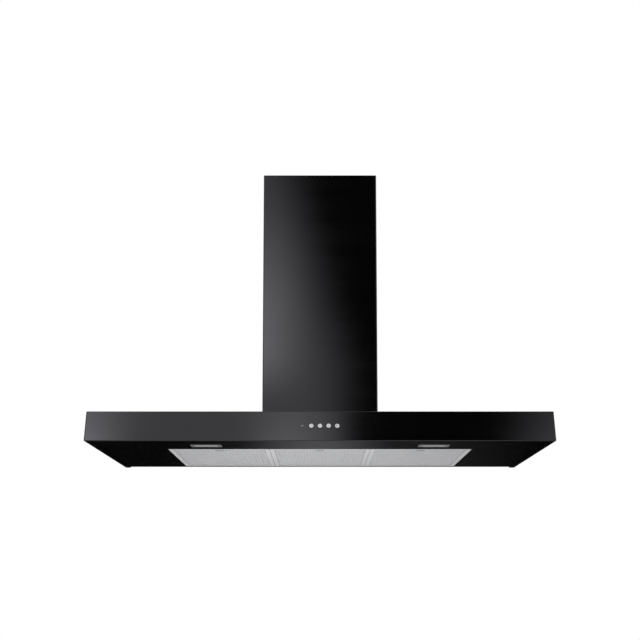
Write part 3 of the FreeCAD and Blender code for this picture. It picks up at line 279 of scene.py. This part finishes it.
steels = {                                      # lay stretches the scratches, tint is their darker tone
    "groundSteel": {"color": (0.62, 0.62, 0.63), "roughness": 0.22, "lay": (30.0, 1.0, 1.0),
                    "on": ["motor_shaft", "damper_pin"]},
    "zincPlatedSteel": {"color": (0.47, 0.48, 0.50), "roughness": 0.34, "lay": (1.0, 14.0, 14.0),
                        "on": ["motor_can", "motor_mount"]},
    "castAlloy": {"color": (0.50, 0.50, 0.51), "roughness": 0.46, "scratch": 0.00003, "tint": 0.75,
                  "on": ["lamp_left_housing", "lamp_right_housing"]},
    "springSteel": {"color": (0.55, 0.55, 0.56), "roughness": 0.28},
    "brightZinc": {"color": (0.60, 0.60, 0.585), "roughness": 0.3},
    "blackZinc": {"color": (0.055, 0.055, 0.06), "roughness": 0.36, "tint": 0.7},
}
plastics = {                                    # drift is how far the tone wanders
    "mouldedBlackPlastic": {"color": (0.014, 0.014, 0.015), "roughness": 0.42,
                            "on": ["switch_housing", "microswitches", "impeller", "outlet_collar",
                                   "damper_front", "damper_rear", "cable_gland"]},
    "mouldedGreyPlastic": {"color": (0.13, 0.135, 0.14), "roughness": 0.45,
                           "on": ["blower_scroll_left", "blower_scroll_right", "terminal_box",
                                  "terminal_cover"]},
    "creamNylon": {"color": (0.66, 0.63, 0.52), "roughness": 0.38, "on": ["terminal_strip"]},
    "capacitorShell": {"color": (0.70, 0.70, 0.68), "roughness": 0.3, "drift": 0.04, "on": ["run_capacitor"]},
    "latchPlastic": {"color": (0.33, 0.333, 0.34), "roughness": 0.36, "drift": 0.06,
                     "on": ["filter_1_latch", "filter_2_latch", "filter_3_latch"]},
    "silverBezel": {"color": (0.10, 0.10, 0.103), "roughness": 0.38, "drift": 0.05,
                    "on": ["lamp_left_bezel", "lamp_right_bezel"]},
    "clearIndicator": {"color": (0.22, 0.22, 0.225), "roughness": 0.25, "drift": 0.03,
                       "on": ["indicator_light"]},
    "darkMark": {"color": (0.06, 0.06, 0.062), "roughness": 0.5},
}


def makeSteel(name, color, roughness, lay=(1.0, 1.0, 1.0), scratch=0.000006, tint=0.85, on=()):
    finish = Finish(name, metallic=1.0)
    streak = finish.noise(160, finish.stretched(lay), detail=3.0)
    finish.set(baseColor=finish.blend(streak, tuple(part * tint for part in color), color),
               roughness=finish.span(streak, 0.25, 0.75, roughness - 0.06, roughness + 0.08),
               normal=finish.relief(streak, scratch))
    wear(finish, *on)
    return finish


def makePlastic(name, color, roughness, grain=900, depth=0.000012, drift=0.12, on=()):
    finish = Finish(name)
    spots = finish.noise(grain)
    dark = tuple(part * (1.0 - drift) for part in color)
    light = tuple(min(1.0, part * (1.0 + drift)) for part in color)
    finish.set(baseColor=finish.blend(finish.noise(14, detail=3.0), dark, light),
               roughness=finish.span(spots, 0.3, 0.7, roughness - 0.05, roughness + 0.06),
               normal=finish.relief(spots, depth))
    wear(finish, *on)
    return finish


steel = {name: makeSteel(name, **sizes) for name, sizes in steels.items()}
plastic = {name: makePlastic(name, **sizes) for name, sizes in plastics.items()}
print("steel and plastics done")


lampLens = {"ribPitch": 0.0022, "ribLift": 900.0, "dark": (0.24, 0.244, 0.25), "light": (0.29, 0.294, 0.30)}
lampBoard = {"base": (0.74, 0.74, 0.72), "track": (0.60, 0.60, 0.57), "chip": (0.80, 0.62, 0.12),
             "chipsBelow": 0.0262, "trackWidth": 0.06}
controlBoard = {"base": (0.010, 0.085, 0.035), "track": (0.02, 0.16, 0.06), "chip": (0.010, 0.085, 0.035),
                "chipsBelow": -1.0, "trackWidth": 0.06}


def makeLens(name, sizes):                      # frosted, with ribs along the lamp's short side
    finish = Finish(name, ior=1.49)
    rib = finish.axes(finish.place)[0].folded(sizes["ribPitch"] / 2) * sizes["ribLift"]
    frost = finish.noise(2600, detail=1.0)
    finish.set(baseColor=finish.blend(finish.noise(30), sizes["dark"], sizes["light"]),
               roughness=finish.span(frost, 0.3, 0.7, 0.28, 0.4),
               normal=finish.relief(rib + frost * 0.15, 0.0002))
    return finish


def makeBoard(name, sizes):                     # printed tracks, and light chips on the lower face
    finish = Finish(name, specularIorLevel=0.5)
    lines = finish.cells(260, finish.stretched((1.0, 0.35, 0.35)), "DISTANCE_TO_EDGE")
    track = lines < sizes["trackWidth"]
    traced = finish.blend(track, sizes["base"], sizes["track"])
    low = finish.axes(finish.place)[2] < sizes["chipsBelow"]
    finish.set(baseColor=finish.blend(low, traced, sizes["chip"]),
               roughness=finish.span(lines, 0.0, 0.3, 0.5, 0.3), normal=finish.relief(track, 0.00003))
    return finish


wear(makeLens("frostedLens", lampLens), "lamp_left_lens", "lamp_right_lens")
wear(makeBoard("whiteBoard", lampBoard), "lamp_left_board", "lamp_right_board")
wear(makeBoard("greenBoard", controlBoard), "control_board")


canopy = {"front": -0.5, "leanBack": 19, "rise": 73}            # the face leans back 19 mm in 73 mm
buttons = {"first": -0.0203, "pitch": 0.0202, "height": 0.0368, "proud": 0.0012, "dish": 0.0003,
           "dishRadius": 0.0024, "line": 0.00022, "lineSunk": 0.4, "dark": (0.80, 0.80, 0.80),
           "light": (0.88, 0.88, 0.88)}
signs = {"ring": 0.0013, "stem": (0.0003, 0.0018), "half": 0.0014, "sun": 0.0008, "ray": (0.0012, 0.0018),
         "rays": 6, "firstRay": 30}
faceTurn = math.atan2(canopy["leanBack"], canopy["rise"])
faceNormal = Vector((0.0, -math.cos(faceTurn), math.sin(faceTurn)))
faceUp = Vector((0.0, math.sin(faceTurn), math.cos(faceTurn)))


def onFace(index, height=0.0):                  # local X, Y, Z at a button on the leaning front face
    spot = Vector((buttons["first"] + index * buttons["pitch"],
                   canopy["front"] + canopy["leanBack"] / canopy["rise"] * buttons["height"], buttons["height"]))
    turn = Matrix((Vector((1, 0, 0)), faceUp, faceNormal)).transposed().to_4x4()
    return Matrix.Translation(spot + faceNormal * height) @ turn


def makeButtonMetal(name, sizes):
    finish = Finish(name, metallic=1.0)
    grain = finish.noise(700)
    finish.set(baseColor=finish.blend(finish.noise(60), sizes["dark"], sizes["light"]),
               roughness=finish.span(grain, 0.3, 0.7, 0.3, 0.42), normal=finish.relief(grain, 0.000006))
    return finish


wear(makeButtonMetal("satinSilver", buttons), "button_1", "button_2", "button_3", "button_4")


def arc(radius, start, stop, count=20):
    turns = [math.radians(start + (stop - start) * step / count) for step in range(count + 1)]
    return [(radius * math.cos(turn), radius * math.sin(turn)) for turn in turns]


stem = [(0.0, reach) for reach in signs["stem"]]
across = [(-signs["half"], 0.0), (signs["half"], 0.0)]
upright = [(0.0, -signs["half"]), (0.0, signs["half"])]
rays = [[(reach * math.cos(turn), reach * math.sin(turn)) for reach in signs["ray"]]
        for turn in [math.radians(360 // signs["rays"] * step + signs["firstRay"])
                     for step in range(signs["rays"])]]
markShapes = [[arc(signs["ring"], 120, 420), stem], [across], [across, upright],
              [arc(signs["sun"], 0, 360)] + rays]       # power, less, more, light


def makeMark(index):                            # the printed sign in the dish of one button
    curve = bpy.data.curves.new(f"mark{index + 1}", "CURVE")
    curve.dimensions = "3D"
    curve.bevel_depth = buttons["line"]
    curve.bevel_resolution = 2
    curve.use_fill_caps = True
    for line in markShapes[index]:
        strip = curve.splines.new("POLY")
        strip.points.add(len(line) - 1)
        for point, (x, y) in zip(strip.points, line):
            rise = buttons["dish"] * min(1.0, math.hypot(x, y) / buttons["dishRadius"])
            sunk = buttons["line"] * buttons["lineSunk"]
            point.co = (x, y, buttons["proud"] - buttons["dish"] + rise - sunk, 1.0)
    holder = bpy.data.objects.new(f"mark{index + 1}Curve", curve)
    bpy.context.scene.collection.objects.link(holder)
    mesh = bpy.data.meshes.new_from_object(holder.evaluated_get(bpy.context.evaluated_depsgraph_get()))
    bpy.data.objects.remove(holder)
    mesh.transform(onFace(index))
    mesh.materials.clear()
    mesh.materials.append(plastic["darkMark"].material)
    piece(f"button_{index + 1}_mark", mesh, f"button_{index + 1}")


for index in range(4):
    makeMark(index)
print("buttons done")


latchSpring = {"turns": 9.0, "radius": 0.0019, "wire": 0.00035, "length": 0.0241}
buttonSpring = {"turns": 4.0, "radius": 0.0041, "wire": 0.0003, "length": 0.0052}
springMoves = {"latchTravel": 0.005, "buttonFoot": -0.0109, "buttonKeep": 0.73}


def springTree():
    tree = Grower("springCoil", latchSpring)
    radius = tree.inputs["radius"]
    line = tree.node("GeometryNodeCurveSpiral", {},
                     {"Resolution": 24, "Rotations": tree.inputs["turns"], "Start Radius": radius,
                      "End Radius": radius, "Height": tree.inputs["length"]})
    ring = tree.node("GeometryNodeCurvePrimitiveCircle", {"mode": "RADIUS"},
                     {"Resolution": 8, "Radius": tree.inputs["wire"]})
    wire = tree.node("GeometryNodeCurveToMesh", {}, {"Curve": line, "Profile Curve": ring, "Fill Caps": True})
    tree.ends(wire, steel["springSteel"].material)
    return tree


def makeLatchSpring(tree, number):              # lies along Y in the CAD spring's place
    low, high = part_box(f"filter_{number}_spring")
    middle = (low + high) / 2
    wire = latchSpring["wire"]
    sizes = {"length": high.y - low.y - 2 * wire, "radius": (high.z - low.z) / 2 - wire}
    coil = tree.grow(f"filter_{number}_coil", points("springHost"), sizes)
    place = Matrix.Translation((middle.x, low.y + wire, middle.z))
    coil.transform(place @ Matrix.Rotation(-math.pi / 2, 4, "X"))
    spring = piece(f"filter_{number}_coil", coil, f"filter_{number}", [f"filter_{number}_spring"])
    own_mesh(spring)


def makeButtonSpring(tree, index):              # stands behind its button, square to the face
    wire = buttonSpring["wire"]
    coil = tree.grow(f"button_{index + 1}_coil", points("springHost"), buttonSpring)
    foot = onFace(index, springMoves["buttonFoot"] + wire)
    coil.transform(foot)
    spring = piece(f"button_{index + 1}_coil", coil, "hood", [f"button_{index + 1}_spring"])
    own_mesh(spring)


springTool = springTree()
for number in (1, 2, 3):
    makeLatchSpring(springTool, number)
for index in range(4):
    makeButtonSpring(springTool, index)
print("springs done")


screwSizes = {"headRadius": 0.0035, "headHeight": 0.0022, "shankRadius": 0.0019, "shankLength": 0.0066}
screwShape = {"domeRise": 0.9, "domeSlack": 1.02, "slotLength": 1.15, "slotWidth": 0.3, "taper": 0.82,
              "spin": 3.1, "seed": 7}
screwRows = {                                   # seat is the height that the heads lie against
    "panel_screw_heads": {
        "stands": "panel_screws", "finish": "blackZinc", "slot": "screw_black", "seat": 0.0012, "up": -1,
        "spots": [(side * 0.54, -share * 0.468) for side in (-1, 1) for share in (0.08, 0.5, 0.92)],
        "changes": {"headHeight": 0.0010}},
    "chimney_screw_heads": {
        "stands": "chimney_screws", "finish": "brightZinc", "slot": "screw_zinc", "seat": 0.0718, "up": -1,
        "spots": [(-0.0745, -0.254), (0.0745, -0.254)]},
    "motor_box_screw_heads": {
        "stands": "motor_box_screws", "finish": "brightZinc", "slot": "screw_zinc", "seat": 0.0742, "up": 1,
        "spots": [(side * 0.137, -0.122 + share * 0.24) for side in (-1, 1) for share in (-0.35, 0.35)]},
    "collar_screw_heads": {
        "stands": "collar_screws", "finish": "brightZinc", "slot": "screw_zinc", "seat": 0.3045, "up": 1,
        "spots": [(0.0805, -0.122), (-0.0805, -0.122), (0.0, -0.0415), (0.0, -0.2025)]},
}


def screwTree(material):                        # a domed head with a cross slot on a tapered shank
    tree = Grower("crossScrew", screwSizes)
    radius, height = tree.inputs["headRadius"], tree.inputs["headHeight"]
    drum = tree.node("GeometryNodeMeshCylinder", {}, {"Vertices": 28, "Radius": radius, "Depth": height})
    drum = tree.moved(drum, tree.vector(z=height * 0.5))
    domeRise = screwShape["domeRise"]
    bowl = radius * radius / (height * domeRise) * 0.5 + height * (domeRise / 2)
    dome = tree.node("GeometryNodeMeshIcoSphere", {},
                     {"Radius": bowl * screwShape["domeSlack"], "Subdivisions": 5})
    dome = tree.moved(dome, tree.vector(z=height - bowl))
    slotSize = tree.vector(radius * screwShape["slotLength"], radius * screwShape["slotWidth"], height)
    slot = tree.node("GeometryNodeMeshCube", {}, {"Size": slotSize})
    slots = [tree.moved(slot, tree.vector(z=height), (0.0, 0.0, turn)) for turn in (0.0, math.pi / 2)]
    head = tree.boolean("INTERSECT", {1: [drum, dome]})
    cross = tree.boolean("UNION", {1: slots})
    head = tree.boolean("DIFFERENCE", {0: head, 1: cross})
    shank = tree.node("GeometryNodeMeshCone", {},
                      {"Vertices": 16, "Radius Top": tree.inputs["shankRadius"] * screwShape["taper"],
                       "Radius Bottom": tree.inputs["shankRadius"], "Depth": tree.inputs["shankLength"]})
    shank = tree.moved(shank, turn=(math.pi, 0.0, 0.0))
    whole = tree.node("GeometryNodeJoinGeometry", {}, {0: [head, shank]})
    spin = tree.node("FunctionNodeRandomValue", {"data_type": "FLOAT"},
                     {"Min": 0.0, "Max": screwShape["spin"], "Seed": screwShape["seed"]}, 1)
    copies = tree.node("GeometryNodeInstanceOnPoints", {},
                       {"Points": tree.inputs["Geometry"], "Instance": whole, "Rotation": tree.vector(z=spin)})
    tree.ends(copies, material)
    return tree


def makeScrews(name, stands, finish, slot, seat, up, spots, changes=None):
    host = points("screwHost", [(x, y if up > 0 else -y, 0.0) for x, y in spots])
    mesh = screwTree(steel[finish].material).grow(name, host, changes)
    if up < 0:                                  # the head hangs below its seat
        mesh.transform(Matrix.Rotation(math.pi, 4, "X"))
    mesh.transform(Matrix.Translation((0.0, 0.0, seat)))
    piece(name, mesh, "hood", [stands], smooth=30)


for name, row in screwRows.items():
    makeScrews(name, **row)
print("screws done")


filters = {"pitch": 0.251, "width": 0.25, "depth": 0.329, "rear": -0.018, "floor": 0.0024, "band": 0.011,
           "notchHalf": 0.0155, "notchDepth": 0.0368}
frameFinish = {"dark": (0.53, 0.53, 0.54), "light": (0.62, 0.62, 0.63), "seam": (0.10, 0.10, 0.10),
               "seamHalf": 0.00022, "brush": 240, "lay": 60.0}
meshFinish = {"dark": (0.53, 0.533, 0.54), "light": (0.61, 0.613, 0.62), "dull": 45, "nicks": 800}
expanded = {"cellX": 0.0080, "cellY": 0.0044, "strand": 0.0009, "sheet": 0.00045, "lean": 0.55, "level": 0.0014,
            "columns": 29, "rows": 71, "ripple": 0.00018, "rippleScale": 55.0}
meshLayers = [                                  # from the face inwards, each one deeper and heavier
    {},
    {"cellX": 0.0112, "cellY": 0.0062, "columns": 21, "rows": 51, "level": 0.0044, "lean": -0.6, "strand": 0.0013,
     "ripple": 0.0003},
    {"cellX": 0.0098, "cellY": 0.0056, "columns": 23, "rows": 56, "level": 0.0068, "lean": 0.35, "strand": 0.0017,
     "ripple": 0.0002},
]


def makeFrameMetal(name, sizes, looks):         # brushed along each bar, with a mitre seam at each corner
    finish = Finish(name, metallic=0.28)
    x, y, z = finish.axes(finish.place)
    pitch = sizes["pitch"]
    fromSide = (x - pitch / 2).folded(pitch / 2) - (pitch - sizes["width"]) / 2
    fromEnd = (sizes["rear"] - y).least(y - (sizes["rear"] - sizes["depth"]))
    along = finish.noise(looks["brush"], finish.stretched((looks["lay"], 1.0, 1.0)), detail=3.0)
    across = finish.noise(looks["brush"], finish.stretched((1.0, looks["lay"], 1.0)), detail=3.0)
    streak = across + (along - across) * (fromSide < fromEnd)
    seam = (abs(fromSide - fromEnd) < looks["seamHalf"]) * (fromSide < sizes["band"])
    finish.set(baseColor=finish.blend(seam, finish.blend(streak, looks["dark"], looks["light"]), looks["seam"]),
               roughness=finish.span(streak, 0.3, 0.7, 0.42, 0.55) + seam * 0.2,
               normal=finish.relief(streak * 0.4 - seam * 4.0, 0.00002))
    return finish


def makeMeshMetal(name, looks):
    finish = Finish(name, metallic=0.36)
    nicks = finish.noise(looks["nicks"], detail=1.0)
    finish.set(baseColor=finish.blend(finish.noise(looks["dull"], detail=3.0), looks["dark"], looks["light"]),
               roughness=finish.span(nicks, 0.3, 0.7, 0.34, 0.5), normal=finish.relief(nicks, 0.00002))
    return finish


def expandedTree(material):                     # diamond links on a grid, left out where the latch's tray is
    tree = Grower("expandedMesh", {**expanded, "notchHalf": filters["notchHalf"], "notchRear": 0.0})
    cellX, cellY = tree.inputs["cellX"], tree.inputs["cellY"]
    diamond = tree.node("GeometryNodeCurvePrimitiveQuadrilateral", {"mode": "KITE"},
                        {"Width": cellX, "Bottom Height": cellY * 0.5, "Top Height": cellY * 0.5})
    tilted = tree.node("GeometryNodeSetCurveTilt", {}, {"Curve": diamond, "Tilt": tree.inputs["lean"]})
    strip = tree.node("GeometryNodeCurvePrimitiveQuadrilateral", {"mode": "RECTANGLE"},
                      {"Width": tree.inputs["sheet"], "Height": tree.inputs["strand"]})
    link = tree.node("GeometryNodeCurveToMesh", {}, {"Curve": tilted, "Profile Curve": strip})
    columns, rows = tree.inputs["columns"], tree.inputs["rows"]
    grid = tree.node("GeometryNodeMeshGrid", {},
                     {"Size X": cellX * (columns - 1), "Size Y": cellY * (rows - 1),
                      "Vertices X": columns, "Vertices Y": rows})
    spot = tree.node("GeometryNodeInputPosition")
    x, y, z = tree.axes(spot)
    inside = (abs(x) < tree.inputs["notchHalf"]) * (y < tree.inputs["notchRear"])
    kept = tree.node("GeometryNodeDeleteGeometry", {"domain": "POINT"}, {"Geometry": grid, "Selection": inside})
    copies = tree.node("GeometryNodeInstanceOnPoints", {}, {"Points": kept, "Instance": link})
    solid = tree.node("GeometryNodeRealizeInstances", {}, {0: copies})
    wave = tree.node("ShaderNodeTexNoise", {"noise_dimensions": "3D"},
                     {"Vector": spot, "Scale": tree.inputs["rippleScale"], "Detail": 1.0})
    lift = tree.vector(z=(wave - 0.5) * tree.inputs["ripple"] + tree.inputs["level"])
    shaped = tree.node("GeometryNodeSetPosition", {}, {"Geometry": solid, "Offset": lift})
    tree.ends(shaped, material)
    return tree


def makeLayers(tree, material, number):         # one filter's layers as one mesh
    front = filters["rear"] - filters["depth"]
    middleY = filters["rear"] - filters["depth"] / 2
    notch = {"notchRear": front + filters["notchDepth"] - middleY}
    verts, faces = [], []
    for layer in meshLayers:
        grown = tree.grow(f"layer{number}", points("meshHost"), {**layer, **notch})
        start = len(verts)
        verts += [tuple(vertex.co) for vertex in grown.vertices]
        faces += [tuple(start + index for index in face.vertices) for face in grown.polygons]
    mesh = bpy.data.meshes.new(f"filter_{number}_layers")
    mesh.from_pydata(verts, [], faces)
    mesh.materials.append(material)
    mesh.transform(Matrix.Translation(((number - 2) * filters["pitch"], middleY, filters["floor"])))
    piece(f"filter_{number}_layers", mesh, f"filter_{number}", [f"filter_{number}_mesh"],
          smooth=0)
    print("filter mesh", number, len(faces), "faces")


wear(makeFrameMetal("anodisedAluminium", filters, frameFinish), "filter_1_frame", "filter_2_frame",
     "filter_3_frame")
meshMetal = makeMeshMetal("expandedAluminium", meshFinish).material
meshTool = expandedTree(meshMetal)
for number in (1, 2, 3):
    makeLayers(meshTool, meshMetal, number)


studio = {"floorZ": -2.3, "floorSize": 13.0, "floorFade": (2.6, 5.5), "plain": 0.78,
          "keyLamp": {"place": (-1.0, -1.3, 3.1), "aim": (0.0, -0.2, 0.2), "size": 1.8, "power": 62.0},
          "underLamp": {"place": (-0.03, -0.42, -0.40), "aim": (-0.02, -0.2, 0.0), "size": 0.4, "power": 1.25}}
tent = {                                        # what the gloss sees; a pair is where a soft step starts and ends
    "front": (0.02, 0.1), "upper": (0.5, 0.75), "top": (0.76, 0.83), "over": (1.05, 1.5),
    "leanFrom": 0.2, "leanLeast": 0.03, "lean": 0.26, "edgeLow": 0.0235, "edgeHigh": 0.033,
    "softIn": (-0.031, -0.021), "softOut": (0.035, 0.017),
    "middleLow": (-0.2, 0.05), "middleEnd": 0.224, "middleFade": (0.305, 0.375),
    "outerIn": (0.335, 0.37), "outerOut": (0.5, 0.75), "outerLow": (0.45, 0.6), "flagsHigh": (1.3, 1.9),
    "patch": (-0.085, 0.0, 0.085), "patchLow": (0.19, 0.25), "patchHigh": (0.25, 0.44), "patchGain": 2.6,
    "streak": (-0.04, 0.0, 0.075), "streakGain": 0.95,
    "endIn": (0.23, 0.34), "endOut": (0.5, 0.7), "endGain": 2.6, "topGain": (1.35, 0.7),
    "back": (0.3, 0.6), "backHigh": (0.1, 0.3), "backDim": 0.55,
    "wall": 0.004, "wallHigh": (0.05, 0.25), "wallLow": (-0.42, -0.3),
    "column": (-0.004, 0.0, 0.088), "columnGlow": 0.13, "tail": (0.03, 0.06, 0.2), "tailGlow": 0.02,
    "lessGreen": 0.01, "moreBlue": 0.075, "least": 0.001,
}


def makeFloor():                                # white far off, so that it has no edge in the picture
    mesh = bpy.data.meshes.new("floor")
    half = studio["floorSize"] / 2
    mesh.from_pydata([(-half, -half, 0), (half, -half, 0), (half, half, 0), (-half, half, 0)], [], [(0, 1, 2, 3)])
    mesh.transform(Matrix.Translation((0.0, 0.0, studio["floorZ"])))
    floor = bpy.data.objects.new("floor", mesh)
    bpy.context.scene.collection.objects.link(floor)
    pale = Finish("paleFloor", roughness=0.9, emissionStrength=1.0)
    black, white = (0.0, 0.0, 0.0), (1.0, 1.0, 1.0)
    seen = pale.node("ShaderNodeLightPath", output="Is Camera Ray")
    spread = pale.node("ShaderNodeVectorMath", {"operation": "LENGTH"}, {0: pale.place}, "Value")
    far = pale.span(spread, *studio["floorFade"]) * seen
    pale.set(baseColor=pale.blend(far, pale.blend(seen, (0.8, 0.8, 0.8), white), black),
             emissionColor=pale.blend(far, black, white))
    mesh.materials.append(pale.material)


def makeLamp(name, place, aim, size, power):    # seen by neither the camera nor the gloss
    data = bpy.data.lights.new(name, "AREA")
    data.shape = "DISK"
    data.size = size
    data.energy = power
    lamp = bpy.data.objects.new(name, data)
    bpy.context.scene.collection.objects.link(lamp)
    lamp.location = place
    lamp.rotation_euler = (Vector(aim) - Vector(place)).to_track_quat("-Z", "Y").to_euler()
    lamp.visible_camera = False
    lamp.visible_glossy = False


def makeWorld():                                # a white tent with dark flags that the gloss picks up
    world = bpy.data.worlds.new("studio")
    bpy.context.scene.world = world
    world.use_nodes = True
    tree = Graph(world.node_tree)

    def step(value, edges):                     # a soft step from 0 to 1
        return tree.node("ShaderNodeMapRange", {"clamp": True, "interpolation_type": "SMOOTHSTEP"},
                         {"Value": value, "From Min": edges[0], "From Max": edges[1]})

    def near(value, place, inner, outer):       # 1 at a place, 0 from outer away
        return 1.0 - step(abs(value - place), (inner, outer))

    def between(share, ends):
        return share * (ends[1] - ends[0]) + ends[0]

    x, y, z = tree.axes(tree.node("ShaderNodeTexCoord", output="Generated"))
    ahead = 0.0 - y
    side = x / ahead.most(tent["least"])
    rise = z / ahead.most(tent["least"])
    front = step(ahead, tent["front"])
    upper = step(rise, tent["upper"])
    top = step(rise, tent["top"])

    lean = (rise - tent["leanFrom"]).most(tent["leanLeast"]) * tent["lean"]
    edge = (tent["edgeLow"] - lean) * (1.0 - upper) + upper * tent["edgeHigh"]
    middleFlag = step(side - edge, (between(upper, tent["softIn"]), between(upper, tent["softOut"])))
    middleFlag = middleFlag * (1.0 - step(side, (tent["middleEnd"], between(top, tent["middleFade"]))))
    middleFlag = middleFlag * step(rise, tent["middleLow"])
    outerFlag = step(abs(side), tent["outerIn"]) * (1.0 - step(abs(side), tent["outerOut"]))
    outerFlag = outerFlag * step(rise, tent["outerLow"])
    flags = (middleFlag + outerFlag).least(1.0) * (1.0 - step(rise, tent["flagsHigh"])) * front

    patch = near(side, *tent["patch"]) * step(rise, tent["patchLow"]) * (1.0 - step(rise, tent["patchHigh"]))
    end = step(0.0 - side, tent["endIn"]) * (1.0 - step(0.0 - side, tent["endOut"]))
    strips = near(side, *tent["streak"]) * tent["streakGain"] + end * tent["endGain"]
    strips = strips * (upper * (1.0 - step(rise, tent["over"]))) * between(top, tent["topGain"])
    white = ((patch * tent["patchGain"] + strips) * front + 1.0) * (1.0 - flags)

    back = step(y, tent["back"])                # the wall side is dark, with a dim column for the underside
    wall = back * (1.0 - step(z, tent["wallHigh"])) * step(z, tent["wallLow"])
    turn = x / y.most(tent["least"])
    glow = near(turn, *tent["column"]) * tent["columnGlow"] + near(turn, *tent["tail"]) * tent["tailGlow"]
    behind = back * step(z, tent["backHigh"]) * tent["backDim"]
    mirrored = white * (1.0 - wall) * (1.0 - behind) + wall * (glow + tent["wall"])

    rays = tree.node("ShaderNodeLightPath", output=None)
    gloss, seen = rays["Is Glossy Ray"], rays["Is Camera Ray"]
    other = (1.0 - gloss) * studio["plain"] + gloss * mirrored
    tint = tree.node("ShaderNodeCombineXYZ", {}, {"X": 1.0, "Y": 1.0 - gloss * tent["lessGreen"],
                                                  "Z": 1.0 + gloss * tent["moreBlue"]})
    background = world.node_tree.nodes["Background"]
    tree.feed(background.inputs["Strength"], other * (1.0 - seen) + seen)
    tree.feed(background.inputs["Color"], tint)


makeFloor()
for name in ("keyLamp", "underLamp"):
    makeLamp(name, **studio[name])
makeWorld()

view = {"place": (0.0, -2.7450, -0.3459), "pitch": 96.46, "lens": 54.95, "sensor": 36.0, "shiftY": 0.25}
camera = bpy.data.objects.new("camera", bpy.data.cameras.new("camera"))
bpy.context.scene.collection.objects.link(camera)
camera.location = view["place"]
camera.rotation_euler = (math.radians(view["pitch"]), 0.0, 0.0)
camera.data.lens = view["lens"]
camera.data.sensor_width = view["sensor"]
camera.data.shift_y = view["shiftY"]
bpy.context.scene.camera = camera
bpy.context.scene.view_settings.view_transform = "Standard"
print("studio done")
